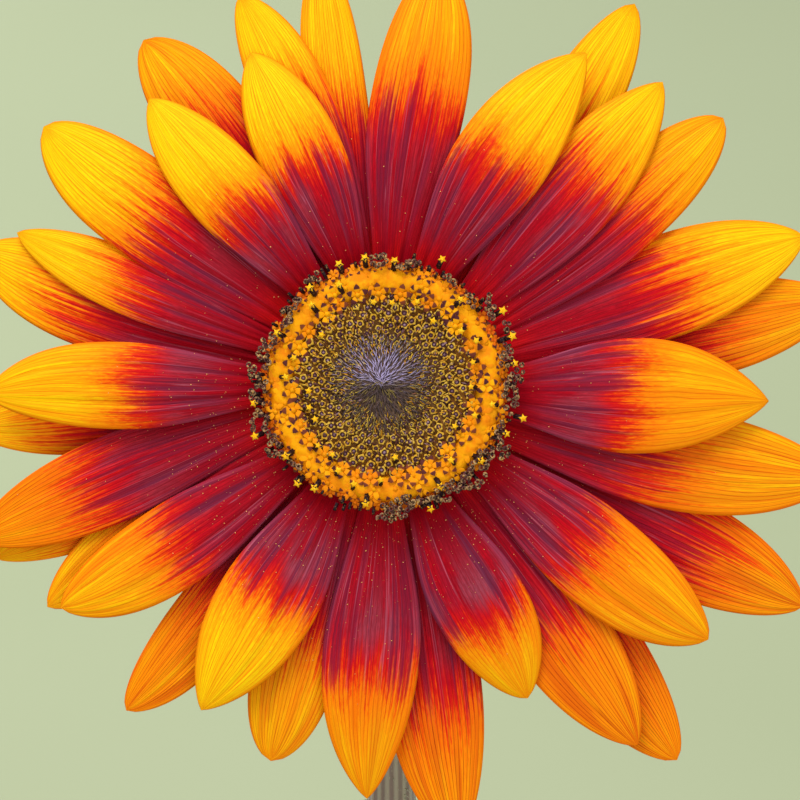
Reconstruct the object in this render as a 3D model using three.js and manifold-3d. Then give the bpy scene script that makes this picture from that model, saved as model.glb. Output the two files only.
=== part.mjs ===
// A potted sunflower with two-coloured petals: a plain clay pot, its soil, one leafy stem and one flower head.
// Millimetres and degrees, +Z up. The origin is the centre of the pot's underside, and the flower faces -Y.
import * as THREE from "three";
import { mergeVertices } from "three/addons/utils/BufferGeometryUtils.js";
import Module from "manifold-3d";

const wasm = await Module();
wasm.setup();

// Driving dimensions
const GAP = 0.3; // between two pieces that touch
const POT = { height: 128, footRadius: 47, topRadius: 64, wall: 6, floor: 9, rim: 30, rimOut: 6, sides: 36 };
const DRAIN = { count: 4, radius: 4.5, circle: 26, sides: 12 };
const SOIL = { top: 112, mound: 5, lump: 0.9, rings: 5 };
const STEM = { footRadius: 5.6, neckRadius: 4.2, footDepth: 34, sides: 8, steps: 28 };
const LEAF = { thickness: 0.8, rib: 1.6, tooth: 0.06, lobe: 0.17, rows: 12 };
const STALK = { radius: 2.1, sides: 6, steps: 6 };
const HEAD = { y: -24, z: 420, elevation: 25, backReach: 15 };
const RING = { inner: 17, outer: 20.6, low: -4.2, high: 0, sides: 40 };
const PETAL = { root: 18.6, thickness: 0.7, baseWidth: 0.36, widest: 0.52, groove: 0.35, rows: 6 };
const BRACT = { root: 17.5, thickness: 0.8, width: 9.5, count: 12, rows: 3 };
const DISC = { radius: 22, waist: 20.2, low: 1, edge: 4, top: 4.9, sides: 20 };
const FLORET = { count: 300, sides: 4, sunk: 1.2 };

const GOLDEN_ANGLE = Math.PI * (3 - Math.sqrt(5));

// The stem's line from its foot in the soil to the neck, where it turns to the head's own direction
const STEM_LINE = [
  [0, 0, SOIL.top - STEM.footDepth],
  [0, 0, SOIL.top + 20],
  [2, 3, 190],
  [-1, 6, 255],
  [1, 8, 320],
  [0, 9, 372],
  [0, 5.5, 398],
];

// The leaves from the lowest up: height on the stem, direction, stalk length, blade length, blade width,
// rise of the stalk and fall of the blade
const LEAVES = [
  [146, 212, 50, 104, 88, 24, 40],
  [164, 345, 52, 108, 92, 30, 34],
  [184, 118, 48, 110, 92, 30, 36],
  [206, 262, 44, 96, 78, 22, 46],
  [228, 30, 42, 104, 84, 28, 26],
  [244, 174, 40, 98, 78, 24, 30],
  [252, 80, 32, 84, 62, 20, 36],
  [276, 312, 32, 78, 56, 18, 36],
  [290, 8, 22, 56, 34, 10, 22],
  [302, 228, 22, 54, 34, 10, 28],
];

// The ray petals, anticlockwise from the right as the flower is faced: direction of the root, direction of the
// tip, distance of the tip from the head's centre, greatest width, and how far forward it lies, from 0 to 3
const RAYS = [
  [-1, -2.5, 64.6, 19.3, 3],
  [9, 10, 83, 18, 0.2],
  [18.5, 20, 75, 17, 1],
  [31.5, 38, 73.5, 15, 1.5],
  [43, 47.5, 70, 15.5, 2.1],
  [52, 56.5, 78, 14, 0],
  [66, 58.8, 66, 16.5, 3],
  [87, 82.5, 73, 17, 2],
  [98.5, 99.5, 73, 11.5, 0.8],
  [103, 111, 71, 15, 1.4],
  [107, 112, 61, 14.5, 2.6],
  [121, 125, 73, 17.5, 0.6],
  [127.5, 129.5, 63, 14, 3],
  [144, 143.5, 73, 16.5, 1.7],
  [159, 157.5, 68, 11, 1.3],
  [167, 162.5, 73, 17, 0.5],
  [180, 181, 68, 15, 3],
  [187, 187, 72, 12.5, 0],
  [196, 201, 72, 14.5, 1.5],
  [203, 204.5, 73, 12.5, 0.4],
  [208, 213.5, 69, 13, 1],
  [220, 216, 67, 15, 2.2],
  [235, 231.5, 71, 13, 0],
  [245, 240.5, 63.5, 17, 3],
  [253, 254.5, 67.5, 16.5, 1],
  [268, 267.5, 70.5, 16, 2.3],
  [279, 278.5, 79, 17, 0.5],
  [290, 294.5, 58.5, 16, 3],
  [305, 305, 75, 16.5, 1.6],
  [312, 309, 80, 16, 0.2],
  [321, 321.8, 70, 16.5, 2.6],
  [330, 333, 81, 17.5, 0.4],
  [342, 348.5, 79, 17.5, 1.3],
];

// The rows of bracts on the back of the head, from the inner one: reach, height of the root and bend back
const BRACT_ROWS = [
  [34, -6.6, 5],
  [38, -7.9, 11],
];

// The zones of the disc outwards: their outer edge as a share of the disc's radius, and their florets' radius,
// height and lean. Bristles, closed buds, open florets and the long tubes at the edge follow each other.
const ZONES = [
  [0.3, 0.8, 2.4, -0.35],
  [0.66, 1, 1.9, -0.1],
  [0.86, 1.1, 2, 0.12],
  [1, 0.85, 3.9, 0.42],
];

const COLOUR = {
  clay: new THREE.MeshStandardMaterial({ color: 0xb5653f, roughness: 0.85, metalness: 0 }),
  soil: new THREE.MeshStandardMaterial({ color: 0x33251c, roughness: 0.95, metalness: 0 }),
  stem: new THREE.MeshStandardMaterial({ color: 0x6b6a3f, roughness: 0.7, metalness: 0 }),
  leaf: new THREE.MeshStandardMaterial({ color: 0x4a7a2c, roughness: 0.6, metalness: 0 }),
  bract: new THREE.MeshStandardMaterial({ color: 0x55852f, roughness: 0.65, metalness: 0 }),
  petal: new THREE.MeshStandardMaterial({ color: 0xe0701a, roughness: 0.55, metalness: 0 }),
  disc: new THREE.MeshStandardMaterial({ color: 0x7a5a18, roughness: 0.8, metalness: 0 }),
};

const radians = THREE.MathUtils.degToRad;
const mix = THREE.MathUtils.lerp;
const vector = (x, y, z) => new THREE.Vector3(x, y, z);
const polar = (radius, degrees, z) => vector(radius, 0, z).applyAxisAngle(vector(0, 0, 1), radians(degrees));
const joined = (shapes) => wasm.Manifold.union(shapes);

// A closed three.js geometry as a solid that can be cut and joined
function solid(geometry) {
  geometry.deleteAttribute("normal");
  geometry.deleteAttribute("uv");
  const merged = mergeVertices(geometry, 1e-4);
  const triVerts = new Uint32Array(merged.index.array);
  return new wasm.Manifold(
    new wasm.Mesh({ numProp: 3, vertProperties: merged.attributes.position.array, triVerts }),
  );
}

// A solid as a named mesh
function piece(name, shape, material) {
  const { vertProperties, triVerts } = shape.getMesh();
  const geometry = new THREE.BufferGeometry();
  geometry.setAttribute("position", new THREE.BufferAttribute(vertProperties, 3));
  geometry.setIndex(new THREE.BufferAttribute(triVerts, 1));
  geometry.computeVertexNormals();
  const mesh = new THREE.Mesh(geometry, material);
  mesh.name = name;
  return mesh;
}

// Moves each vertex of a geometry by a function of its place
function moved(geometry, move) {
  const position = geometry.attributes.position;
  const point = vector(0, 0, 0);
  for (let n = 0; n < position.count; n++) {
    move(point.fromBufferAttribute(position, n));
    position.setXYZ(n, ...point);
  }
  return geometry;
}

// A profile of [radius, height] points turned about Z. It starts and ends on the axis, or closes on itself.
function turned(profile, sides) {
  const points = profile.map(([radius, height]) => new THREE.Vector2(radius, height));
  return new THREE.LatheGeometry(points, sides).rotateX(Math.PI / 2);
}

// A rod along a curve: an extruded circle of radius 1, thickened about the curve to its radius at each step
function rod(curve, radiusAt, sides, steps) {
  const circle = new THREE.Shape().absarc(0, 0, 1, 0, 2 * Math.PI);
  const extruded = new THREE.ExtrudeGeometry(circle, { curveSegments: sides / 2, steps, extrudePath: curve });
  const centres = curve.getSpacedPoints(steps);
  return solid(
    moved(extruded, (point) => {
      const distances = centres.map((centre) => centre.distanceToSquared(point));
      const step = distances.indexOf(Math.min(...distances));
      point.sub(centres[step]).multiplyScalar(radiusAt(step / steps)).add(centres[step]);
    }),
  );
}

// A thin blade: spot(along, across) gives its upper face, and back(along, across) the step to its lower face.
// Both faces are split into triangles alike. across takes the shares in columns, and the tip is one point.
function blade(spot, back, rows, columns) {
  const last = columns.length - 1;
  const points = [];
  for (const lower of [false, true])
    for (let row = 0; row <= rows; row++)
      for (const across of row < rows ? columns : [0]) {
        const point = spot(row / rows, across, row);
        if (lower) point.add(back(row / rows, across));
        points.push(...point);
      }
  const face = rows * columns.length + 1;
  const at = (row, column) => (row < rows ? row * columns.length + column : face - 1);
  const indices = [];
  const both = (a, b, c) => indices.push(a, b, c, a + face, c + face, b + face);
  const wall = (a, b) => indices.push(a, a + face, b + face, a, b + face, b);
  for (let row = 0; row < rows; row++) {
    const next = row + 1;
    for (let column = 0; column < last; column++) {
      if (next === rows) both(at(row, column), at(next, 0), at(row, column + 1));
      else if (column < last / 2) {
        both(at(row, column), at(next, column), at(next, column + 1));
        both(at(row, column), at(next, column + 1), at(row, column + 1));
      } else {
        both(at(row, column), at(next, column), at(row, column + 1));
        both(at(row, column + 1), at(next, column), at(next, column + 1));
      }
    }
    wall(at(row, 0), at(next, 0));
    wall(at(next, last), at(row, last));
  }
  for (let column = 0; column < last; column++) wall(at(0, column + 1), at(0, column));
  const geometry = new THREE.BufferGeometry();
  geometry.setAttribute("position", new THREE.Float32BufferAttribute(points, 3));
  geometry.setIndex(indices);
  return solid(geometry);
}

// The pot: a tapered clay wall with a rolled rim, a floor and drain holes
const potFloorRadius = POT.footRadius - POT.wall - 2;
const potLowInside = [POT.footRadius - POT.wall + 1, POT.floor + 3];
const potHighInside = [POT.topRadius - POT.wall, POT.height - 3];

function pot() {
  const { height, footRadius, topRadius, wall, floor, rim, rimOut, sides } = POT;
  const rimLow = height - rim;
  const underRim = mix(footRadius, topRadius, rimLow / height);
  const shell = turned(
    [
      [0, 0],
      [footRadius - 2, 0],
      [footRadius, 2],
      [underRim, rimLow - 3],
      [underRim + rimOut - 1.5, rimLow],
      [topRadius + rimOut - 1, height - 3],
      [topRadius + rimOut - 3, height],
      [topRadius - wall / 2, height],
      potHighInside,
      potLowInside,
      [potFloorRadius, floor],
      [0, floor],
    ],
    sides,
  );
  const drains = [];
  for (let n = 0; n < DRAIN.count; n++) {
    const { x, y } = polar(DRAIN.circle, (360 * (n + 0.5)) / DRAIN.count, 0);
    const hole = new THREE.CylinderGeometry(DRAIN.radius, DRAIN.radius, floor * 3, DRAIN.sides);
    drains.push(solid(hole.rotateX(Math.PI / 2).translate(x, y, 0)));
  }
  return solid(shell).subtract(joined(drains));
}

// The soil: it fills the pot, its top is a low mound with lumps, and the stem stands in a plain hole in it
function soil(stemHole) {
  const { top, mound, lump, rings } = SOIL;
  const [lowRadius, lowHeight] = potLowInside;
  const [highRadius, highHeight] = potHighInside;
  const edge = mix(lowRadius, highRadius, (top - lowHeight) / (highHeight - lowHeight)) - GAP;
  const profile = [
    [0, POT.floor + GAP],
    [potFloorRadius - GAP, POT.floor + GAP],
    [lowRadius - GAP, lowHeight],
  ];
  for (let ring = rings; ring >= 0; ring--)
    profile.push([(edge * ring) / rings, top + mound * (1 - (ring / rings) ** 2)]);
  const filled = moved(turned(profile, POT.sides), (point) => {
    const inside = 1 - Math.min(1, Math.hypot(point.x, point.y) / edge) ** 4;
    const wave = Math.sin(0.5 * point.x) + Math.cos(0.43 * point.y + point.x);
    if (point.z >= top) point.z += lump * inside * wave;
  });
  return solid(filled).subtract(stemHole);
}

// The stem: one tapered rod that nods forward into the head
const facing = vector(0, -Math.cos(radians(HEAD.elevation)), Math.sin(radians(HEAD.elevation)));
const headCentre = vector(0, HEAD.y, HEAD.z);
const neck = headCentre.clone().addScaledVector(facing, -HEAD.backReach - GAP);
const stemPoints = STEM_LINE.map((point) => vector(...point));
stemPoints.push(neck.clone().addScaledVector(facing, -5), neck);
const stemCurve = new THREE.CatmullRomCurve3(stemPoints, false, "centripetal");

function stem(extra = 0) {
  const radiusAt = (share) => mix(STEM.footRadius, STEM.neckRadius, Math.min(1, share * 1.25)) + extra;
  return rod(stemCurve, radiusAt, STEM.sides, STEM.steps);
}

// Point of the stem's line at a height, found by halving
function stemAt(height) {
  let low = 0;
  let high = 0.9;
  for (let n = 0; n < 24; n++) {
    const share = (low + high) / 2;
    if (stemCurve.getPointAt(share).z < height) low = share;
    else high = share;
  }
  return stemCurve.getPointAt(low);
}

// Share of a leaf's greatest width at a share of its length
const leafWidth = (along) => Math.sin(Math.PI * (0.04 + 0.96 * along) ** 0.6) ** 0.85;

// A leaf in its own frame, out along +X from the stem's line: a stalk, and a toothed heart-shaped blade
function leaf(stalk, length, width, rise, fall) {
  const stalkEnd = vector(stalk, 0, rise);
  const stalkBend = vector(stalk * 0.5, 0, rise * 0.75);
  const stalkLine = new THREE.QuadraticBezierCurve3(vector(0, 0, 0), stalkBend, stalkEnd);
  const bladeLine = new THREE.QuadraticBezierCurve3(
    stalkEnd,
    vector(stalk + length * 0.45, 0, rise + length * 0.16),
    vector(stalk + length * 0.9, 0, rise - fall),
  );
  const up = (along) => {
    const ahead = bladeLine.getTangent(along);
    return vector(-ahead.z, 0, ahead.x);
  };
  const spot = (along, across, row) => {
    const odd = row % 2;
    const half = (width / 2) * leafWidth(along) * (odd ? 1 + LEAF.tooth : 1 - LEAF.tooth);
    const side = Math.abs(across);
    const fold = 0.3 * half * side * (1 - side);
    const quilt = side === 0.5 ? mix(-0.5, 0.9, odd) : 0;
    const lobe = length * LEAF.lobe * (1 - along) ** 3 * side;
    return bladeLine
      .getPoint(along)
      .addScaledVector(up(along), fold + quilt)
      .addScaledVector(bladeLine.getTangent(along), -lobe)
      .add(vector(0, half * across, 0));
  };
  const back = (along, across) => {
    const rib = across === 0 ? LEAF.rib * (1 - along) : 0;
    return up(along).multiplyScalar(-LEAF.thickness - rib);
  };
  const stalkAt = (share) => STALK.radius * (1.35 - 0.35 * Math.min(1, share * 3));
  const flat = blade(spot, back, LEAF.rows, [-1, -0.5, 0, 0.5, 1]);
  return flat.add(rod(stalkLine, stalkAt, STALK.sides, STALK.steps));
}

// One leaf in its place, with its stalk's end cut to the stem
function placedLeaf([height, direction, ...sizes], stemCut) {
  const place = new THREE.Matrix4().makeRotationZ(radians(direction)).setPosition(stemAt(height));
  const parts = leaf(...sizes).transform(place.toArray()).subtract(stemCut).decompose();
  return parts.reduce((best, part) => (part.volume() > best.volume() ? part : best));
}

// One pointed bract, out along +X
function bract([reach, rootHeight, bend]) {
  const spot = (along, across) =>
    vector(
      mix(BRACT.root, reach, along),
      (BRACT.width / 2) * (1 - along ** 1.7) * across,
      rootHeight - bend * along * along + 0.7 * across * across * (1 - along),
    );
  return blade(spot, () => vector(0, 0, -BRACT.thickness), BRACT.rows, [-1, 0, 1]);
}

// The green back of the head in the head's frame: a cup on the neck with two rows of bracts
function receptacle() {
  const top = RING.low - GAP;
  const cup = turned(
    [
      [0, -HEAD.backReach],
      [STEM.neckRadius + 0.6, -HEAD.backReach],
      [STEM.neckRadius + 2.2, -HEAD.backReach + 2.2],
      [13, -10.2],
      [19, -7.4],
      [RING.outer, top - 0.8],
      [RING.outer - 0.4, top],
      [0, top],
    ],
    2 * BRACT.count,
  );
  const bracts = [];
  BRACT_ROWS.forEach((sizes, row) => {
    for (let n = 0; n < BRACT.count; n++)
      bracts.push(bract(sizes).rotate([0, 0, (360 * (n + row / 2)) / BRACT.count]));
  });
  return joined([solid(cup), ...bracts]);
}

// Share of a petal's greatest width at a share of its length
function petalWidth(along) {
  const { baseWidth, widest } = PETAL;
  if (along < widest) return mix(baseWidth, 1, Math.sin((Math.PI / 2) * (along / widest)) ** 1.5);
  return (1 - ((along - widest) / (1 - widest)) ** 2.1) ** 0.9;
}

// One petal in the head's frame: it leaves the ring, arches forward by its level and has two grooves along it
function petal([rootTurn, tipTurn, reach, width, level]) {
  const line = new THREE.QuadraticBezierCurve3(
    polar(PETAL.root, rootTurn, -2.6 + 0.75 * level),
    polar(mix(PETAL.root, reach, 0.5), mix(rootTurn, tipTurn, 0.35), -1.5 + 3.6 * level),
    polar(reach, tipTurn, -6 + 2.2 * level),
  );
  const grooves = 0.42;
  const spot = (along, across) => {
    const ahead = line.getTangent(along);
    const side = vector(-ahead.y, ahead.x, 0).normalize();
    const share = petalWidth(along);
    const droop = (0.7 + 0.2 * level) * across * across * share;
    const groove = Math.abs(across) === grooves ? PETAL.groove : 0;
    const point = line.getPoint(along).addScaledVector(side, (width / 2) * share * across);
    return point.add(vector(0, 0, -droop - groove));
  };
  return blade(spot, () => vector(0, 0, -PETAL.thickness), PETAL.rows, [-1, -grooves, 0, grooves, 1]);
}

// All the petals, grown together on the ring under the disc's edge
function petals() {
  const { inner, outer, low, high, sides } = RING;
  const ring = turned([[inner, low], [outer, low], [outer, high], [inner, high], [inner, low]], sides);
  return joined([solid(ring), ...RAYS.map(petal)]);
}

// Height of the disc's own surface at a share of its radius: a low dome with a knob in the middle
function discHeight(share) {
  return DISC.top + 1.9 * Math.max(0, 1 - 2 * share) ** 1.6 + 0.9 * share * Math.sin(Math.PI * share);
}

// One floret of the disc at a share of its radius
function floret(share, turn) {
  const [, radius, rise, lean] = ZONES.find(([outerShare]) => share < outerShare);
  const cone = new THREE.ConeGeometry(radius, rise + FLORET.sunk, FLORET.sides);
  cone.translate(0, (rise - FLORET.sunk) / 2, 0).rotateX(Math.PI / 2).rotateY(lean);
  return solid(cone.translate(DISC.radius * share, 0, discHeight(share)).rotateZ(turn));
}

// The disc: a domed plug covered with florets in a golden-angle spiral
function disc() {
  const { radius, waist, low, edge, sides } = DISC;
  const plugRadius = RING.inner - GAP;
  const profile = [[0, RING.low], [plugRadius, RING.low], [plugRadius, low], [waist, low], [radius, edge]];
  for (const share of [0.96, 0.82, 0.66, 0.5, 0.36, 0.2, 0]) profile.push([radius * share, discHeight(share)]);
  const florets = [];
  for (let n = 0; n < FLORET.count; n++)
    florets.push(floret(0.97 * Math.sqrt((n + 0.5) / FLORET.count), n * GOLDEN_ANGLE));
  return joined([solid(turned(profile, sides)), ...florets]);
}

// The whole plant
const sunflower = new THREE.Group();
const stemCut = stem(GAP + 0.1);
sunflower.add(
  piece("pot", pot(), COLOUR.clay),
  piece("soil", soil(stemCut), COLOUR.soil),
  piece("stem", stem(), COLOUR.stem),
);
LEAVES.forEach((sizes, n) => sunflower.add(piece("leaf_" + (n + 1), placedLeaf(sizes, stemCut), COLOUR.leaf)));

const head = new THREE.Group();
head.position.copy(headCentre);
head.rotation.x = radians(90 - HEAD.elevation);
head.add(
  piece("receptacle", receptacle(), COLOUR.bract),
  piece("petals", petals(), COLOUR.petal),
  piece("disc_florets", disc(), COLOUR.disc),
);
sunflower.add(head);

export default sunflower;
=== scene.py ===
"""A potted sunflower with two-coloured petals: the pieces that stand for its plain solids, their finishes,
and the studio. Lengths are millimetres until a piece is finished. The head's pieces are made in the head's
own frame, whose Z is the way that the flower faces, and then put in place."""

import math
import random

import bmesh
import bpy
from mathutils import Matrix, Vector, noise
from mathutils.bvhtree import BVHTree


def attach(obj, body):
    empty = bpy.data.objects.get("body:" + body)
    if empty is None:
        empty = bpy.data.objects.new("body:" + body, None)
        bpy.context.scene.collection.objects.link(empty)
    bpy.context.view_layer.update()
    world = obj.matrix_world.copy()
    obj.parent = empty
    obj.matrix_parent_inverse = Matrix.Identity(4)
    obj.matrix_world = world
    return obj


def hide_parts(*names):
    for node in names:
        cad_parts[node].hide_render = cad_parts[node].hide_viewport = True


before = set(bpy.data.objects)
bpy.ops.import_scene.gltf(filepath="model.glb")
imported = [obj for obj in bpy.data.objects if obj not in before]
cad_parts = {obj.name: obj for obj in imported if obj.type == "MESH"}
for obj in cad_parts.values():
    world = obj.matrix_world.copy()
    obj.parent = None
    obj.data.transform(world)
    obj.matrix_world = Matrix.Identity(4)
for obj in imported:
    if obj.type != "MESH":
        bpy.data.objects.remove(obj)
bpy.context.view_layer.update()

METRES = 0.001
GOLDEN_ANGLE = math.pi * (3 - math.sqrt(5))
HEAD_CENTRE = Vector((0, -24, 420))
HEAD = Matrix.Translation(HEAD_CENTRE) @ Matrix.Rotation(math.radians(65), 4, "X")
FACING = HEAD.to_3x3() @ Vector((0, 0, 1))
RIGHT = Vector((1, 0, 0))
UP = HEAD.to_3x3() @ Vector((0, 1, 0))

# Petals
PETAL_ROOT = 18.6
PETAL_THICKNESS = 0.35
PETAL_COLUMNS = 28
PETAL_ROWS = 60

# The ray petals, anticlockwise from the right as the flower is faced: direction of the root, direction of
# the tip, distance of the tip from the head's centre, greatest width, how far forward it lies from 0 to 3,
# the share of its length where the red has turned orange, how blunt its tip is from 0 to 1, and how golden
# it is, where 1 is clear yellow
RAYS = [
    (-3.6, -2.4, 65.3, 19.6, 3, 0.50, 0.2, 0.38),
    (9.5, 10.7, 80, 17, 0.2, 0.61, 0.4, 0.44),
    (18.8, 19.5, 76, 17.6, 1, 0.57, 0.5, 0.95),
    (31.5, 38.3, 73.5, 14.3, 1.5, 0.61, 0.8, 0.64),
    (43, 47.5, 70, 15.5, 2.1, 0.60, 0.4, 0.78),
    (52, 56.8, 78, 13.3, 0, 0.56, 0.7, 1.00),
    (68, 58.8, 66, 16.2, 3, 0.50, 0.3, 0.92),
    (86, 82.7, 73, 16.2, 2, 0.57, 0.6, 0.46),
    (101, 98.6, 73.5, 10.4, 0.8, 0.51, 0.9, 0.74),
    (103, 110.4, 71, 12.9, 1.4, 0.56, 0.7, 0.88),
    (107, 112, 61, 14.5, 2.6, 0.53, 0.5, 0.88),
    (121, 125, 72, 16.3, 0.6, 0.64, 0.8, 0.60),
    (127.5, 129.5, 63, 14, 3, 0.47, 0.5, 0.99),
    (143.4, 142.9, 73, 16.6, 1.7, 0.56, 0.8, 1.05),
    (159, 157.5, 68, 11, 1.3, 0.57, 0.5, 0.88),
    (166.2, 161.8, 73.5, 16.8, 0.5, 0.67, 0.7, 0.95),
    (180.5, 181.2, 68, 14.8, 3, 0.50, 0.5, 0.66),
    (186, 185.9, 72, 12.5, 0, 0.68, 0.5, 0.88),
    (196, 200.6, 75, 14.8, 1.5, 0.65, 0.5, 0.16),
    (203, 203.9, 73, 12.5, 0.4, 0.72, 0.5, 0.76),
    (208, 213.3, 69, 12.8, 1, 0.56, 0.6, 0.62),
    (220.8, 214.5, 67, 14.6, 2.2, 0.58, 0.6, 0.50),
    (233.8, 231.5, 71, 12.7, 1, 0.56, 0.7, 0.16),
    (243.2, 240.5, 63.5, 17, 3, 0.51, 0.3, 0.82),
    (250.2, 253.1, 67, 15, 1.6, 0.55, 0.85, 0.38),
    (268, 267.5, 70.5, 16.5, 2.3, 0.62, 0.3, 0.34),
    (279.8, 279.2, 79, 17, 1, 0.63, 0.4, 0.22),
    (290, 294.5, 58.5, 16, 3, 0.66, 0.5, 0.55),
    (305, 305, 75, 17, 1.6, 0.57, 0.5, 0.06),
    (312, 307.9, 81.3, 15.8, 0.2, 0.68, 0.7, 0.22),
    (321, 321.8, 70, 16.5, 2.6, 0.52, 0.6, 0.30),
    (329.3, 332.2, 81, 17.5, 0.4, 0.70, 0.6, 0.22),
    (342, 348.5, 79, 17.5, 1.3, 0.53, 0.5, 0.42),
]

# The disc: its whole radius, the height of its base, and its radii where the bristles end, where the closed
# florets end and where its own surface ends
DISC_RADIUS = 22
DISC_LOW = -4.2
BRISTLE_EDGE = 9.4
BUD_EDGE = 15.2
DOME_EDGE = 20.4
BRISTLE_CENTRE = Vector((-0.85, 0.2, 0))

# The florets in full bloom hold up dark tubes with a yellow star at the end. Their stars round the disc's
# edge, and those on the inner side of the golden band, each as its direction and distance from the centre
EDGE_STARS = [
    (110.8, 21.8), (99, 21.7), (85.5, 21), (65.5, 23.3), (127.7, 20.7), (154.2, 20.2), (188, 22.3),
    (201.5, 23.6), (228.4, 22.2), (235.7, 21.1), (215.7, 20.6), (260.8, 20.3), (290.2, 22.3), (32.2, 23.5),
    (20.9, 23), (9.4, 22.2), (346.4, 24), (338.1, 22.1), (48.5, 19.2), (321.8, 20.7), (298.6, 19.5),
    (114.7, 18.6), (132.6, 18.3),
]
BAND_STARS = [
    (251.9, 17.5), (242.2, 16.4), (233.3, 14.7), (221.8, 15.2), (206.5, 13.1), (195.6, 13.3), (184.5, 12.9),
    (175.9, 16.8), (162.8, 16), (141.6, 13.6), (97.8, 14.1), (84.5, 13.9), (69.6, 15), (52.2, 13.5),
    (35.2, 15.7), (26, 17.1), (14.1, 15.3), (359.1, 14.5), (349.7, 18.4), (340.8, 16), (330.3, 13.7),
    (311, 16.9), (278.1, 12.3), (268.5, 16),
]

# The curled stigmas stand round the edge in tufts, closer together at the right and low down
STIGMAS = [
    (93.2, 21.8), (92.4, 20.4), (77.3, 21.1), (82, 20.6), (58.1, 21.3), (44.4, 20.4), (38.3, 22.7),
    (34, 21.4), (24.8, 22.8), (15.3, 21.8), (12, 20.6), (5.3, 23), (2, 21.3), (-2.3, 20.7), (-5.4, 22.4),
    (-9.8, 21.6), (-20, 20.8), (-26.4, 21.7), (-29.2, 23.4), (-32, 21.6), (-36.1, 20.1), (-39.3, 22.2),
    (-43, 20.6), (-46.8, 21), (-47.8, 22.8), (-50.5, 21.4), (-53.8, 21.7), (-58, 20.6), (-62.4, 21.6),
    (-66.5, 20.6), (-70.9, 20.9), (-77, 20.6), (-80, 21.3), (-81, 19.9), (-84, 22.2), (-86, 21.7),
    (-90, 22.3), (-88, 20.6), (144.3, 20.7), (147.5, 19.8), (124, 21.6), (138, 20.4), (164.6, 21.7),
    (161, 21.4), (158.5, 20.3), (168.5, 20.6), (174.2, 22.9), (176.4, 21.7), (180, 20.7), (183.8, 22.2),
    (192, 21.2), (196, 23), (199, 21.4), (206, 20.9), (210, 22.5), (212.5, 21.2), (222, 20.8),
]

# The open florets: the length, rise and curl of their lobes, then their rings from the inside out, each as
# its count, radius, height, ripeness, the share of a lobe where its dark tip begins, lean and size
FLORETS = {
    "open_florets": (
        (1.45, 0.28, 0.1),
        [(30, 15.7, 1.1, 0.1, 0.42, -0.22, 1.08), (9, 17.4, 1.35, 0.0, 0.5, -0.1, 1.05)],
    ),
    "golden_florets": (
        (1.6, 0.1, 0.2),
        [(26, 17.4, 1.2, 0.0, 1.3, -0.05, 1.0), (30, 18.8, 1.1, 0.24, 1.3, 0.12, 0.95)],
    ),
    "edge_florets": ((1.45, 0.25, 0.2), [(62, 20.3, 0.62, 0.72, 0.5, 0.6, 0.78)]),
}

# The closed florets are numbers in one spiral, whose last number is at its full radius
BUD_NUMBERS = range(106, 560)
SPIRAL_NUMBERS = 620
SPIRAL_RADIUS = 22.3

# How many there are of what is spread by chance or by the spiral
BRISTLES = 640
EDGE_TUBES = 96
POLLEN_GRAINS = 1000
SOIL_CRUMBS = 620
STEM_HAIRS = 1700
BRACT_HAIRS = 46
STALK_HAIRS = 150
BLADE_HAIRS = 260

# The stem's line, and the leaves from the lowest up: height on the stem, direction, stalk length, blade
# length, blade width, rise of the stalk and fall of the blade
STEM_LINE = [(0, 0, 78), (0, 0, 132), (2, 3, 190), (-1, 6, 255), (1, 8, 320), (0, 9, 372), (0, 5.5, 398)]
STEM_FOOT = 5.6
STEM_NECK = 4.2
STEM_RINGS = 140
LEAVES = [
    (146, 212, 50, 104, 88, 24, 40),
    (164, 345, 52, 108, 92, 30, 34),
    (184, 118, 48, 110, 92, 30, 36),
    (206, 262, 44, 96, 78, 22, 46),
    (228, 30, 42, 104, 84, 28, 26),
    (244, 174, 40, 98, 78, 24, 30),
    (252, 80, 32, 84, 62, 20, 36),
    (276, 312, 32, 78, 56, 18, 36),
    (290, 8, 22, 56, 34, 10, 22),
    (302, 228, 22, 54, 34, 10, 28),
]

# The bracts behind the petals, the inner row first: reach, height of the root and bend back
BRACT_ROWS = [(34, -6.6, 5), (38, -7.9, 11)]
BRACTS_IN_A_ROW = 12

# The soil: the pot's inner radius round its top, its own edge just within that, the height of that edge,
# and the rise from there to the middle
SOIL_WALL = 56.2
SOIL_EDGE = 55.9
SOIL_HEIGHT = 112
SOIL_RISE = 5

# The camera's distance from the head, the width that it sees there, and the width of its sensor
CAMERA_DISTANCE = 900
VIEW_WIDTH = 136
SENSOR_WIDTH = 36


def lerp(a, b, share):
    return a + (b - a) * share


def ease(value, low, high):
    """A soft step from 0 at low to 1 at high."""
    share = min(1, max(0, (value - low) / (high - low)))
    return share * share * (3 - 2 * share)


def polar(radius, degrees, z=0.0):
    turn = math.radians(degrees)
    return Vector((radius * math.cos(turn), radius * math.sin(turn), z))


def about(axis, angle):
    return Matrix.Rotation(angle, 4, axis)


def bend(points, share):
    """Place and direction at a share of a curve bent by three points."""
    a, b, c = points
    place = a * (1 - share) ** 2 + b * (2 * share * (1 - share)) + c * share**2
    ahead = ((b - a) * (1 - share) + (c - b) * share).normalized()
    return place, ahead


def paint(red, green, blue):
    """A colour as it looks on a screen, for a shader."""
    channels = []
    for channel in (red / 255, green / 255, blue / 255):
        low = channel / 12.92
        channels.append(low if channel <= 0.04045 else ((channel + 0.055) / 1.055) ** 2.4)
    return (*channels, 1)


# Finishes


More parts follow.
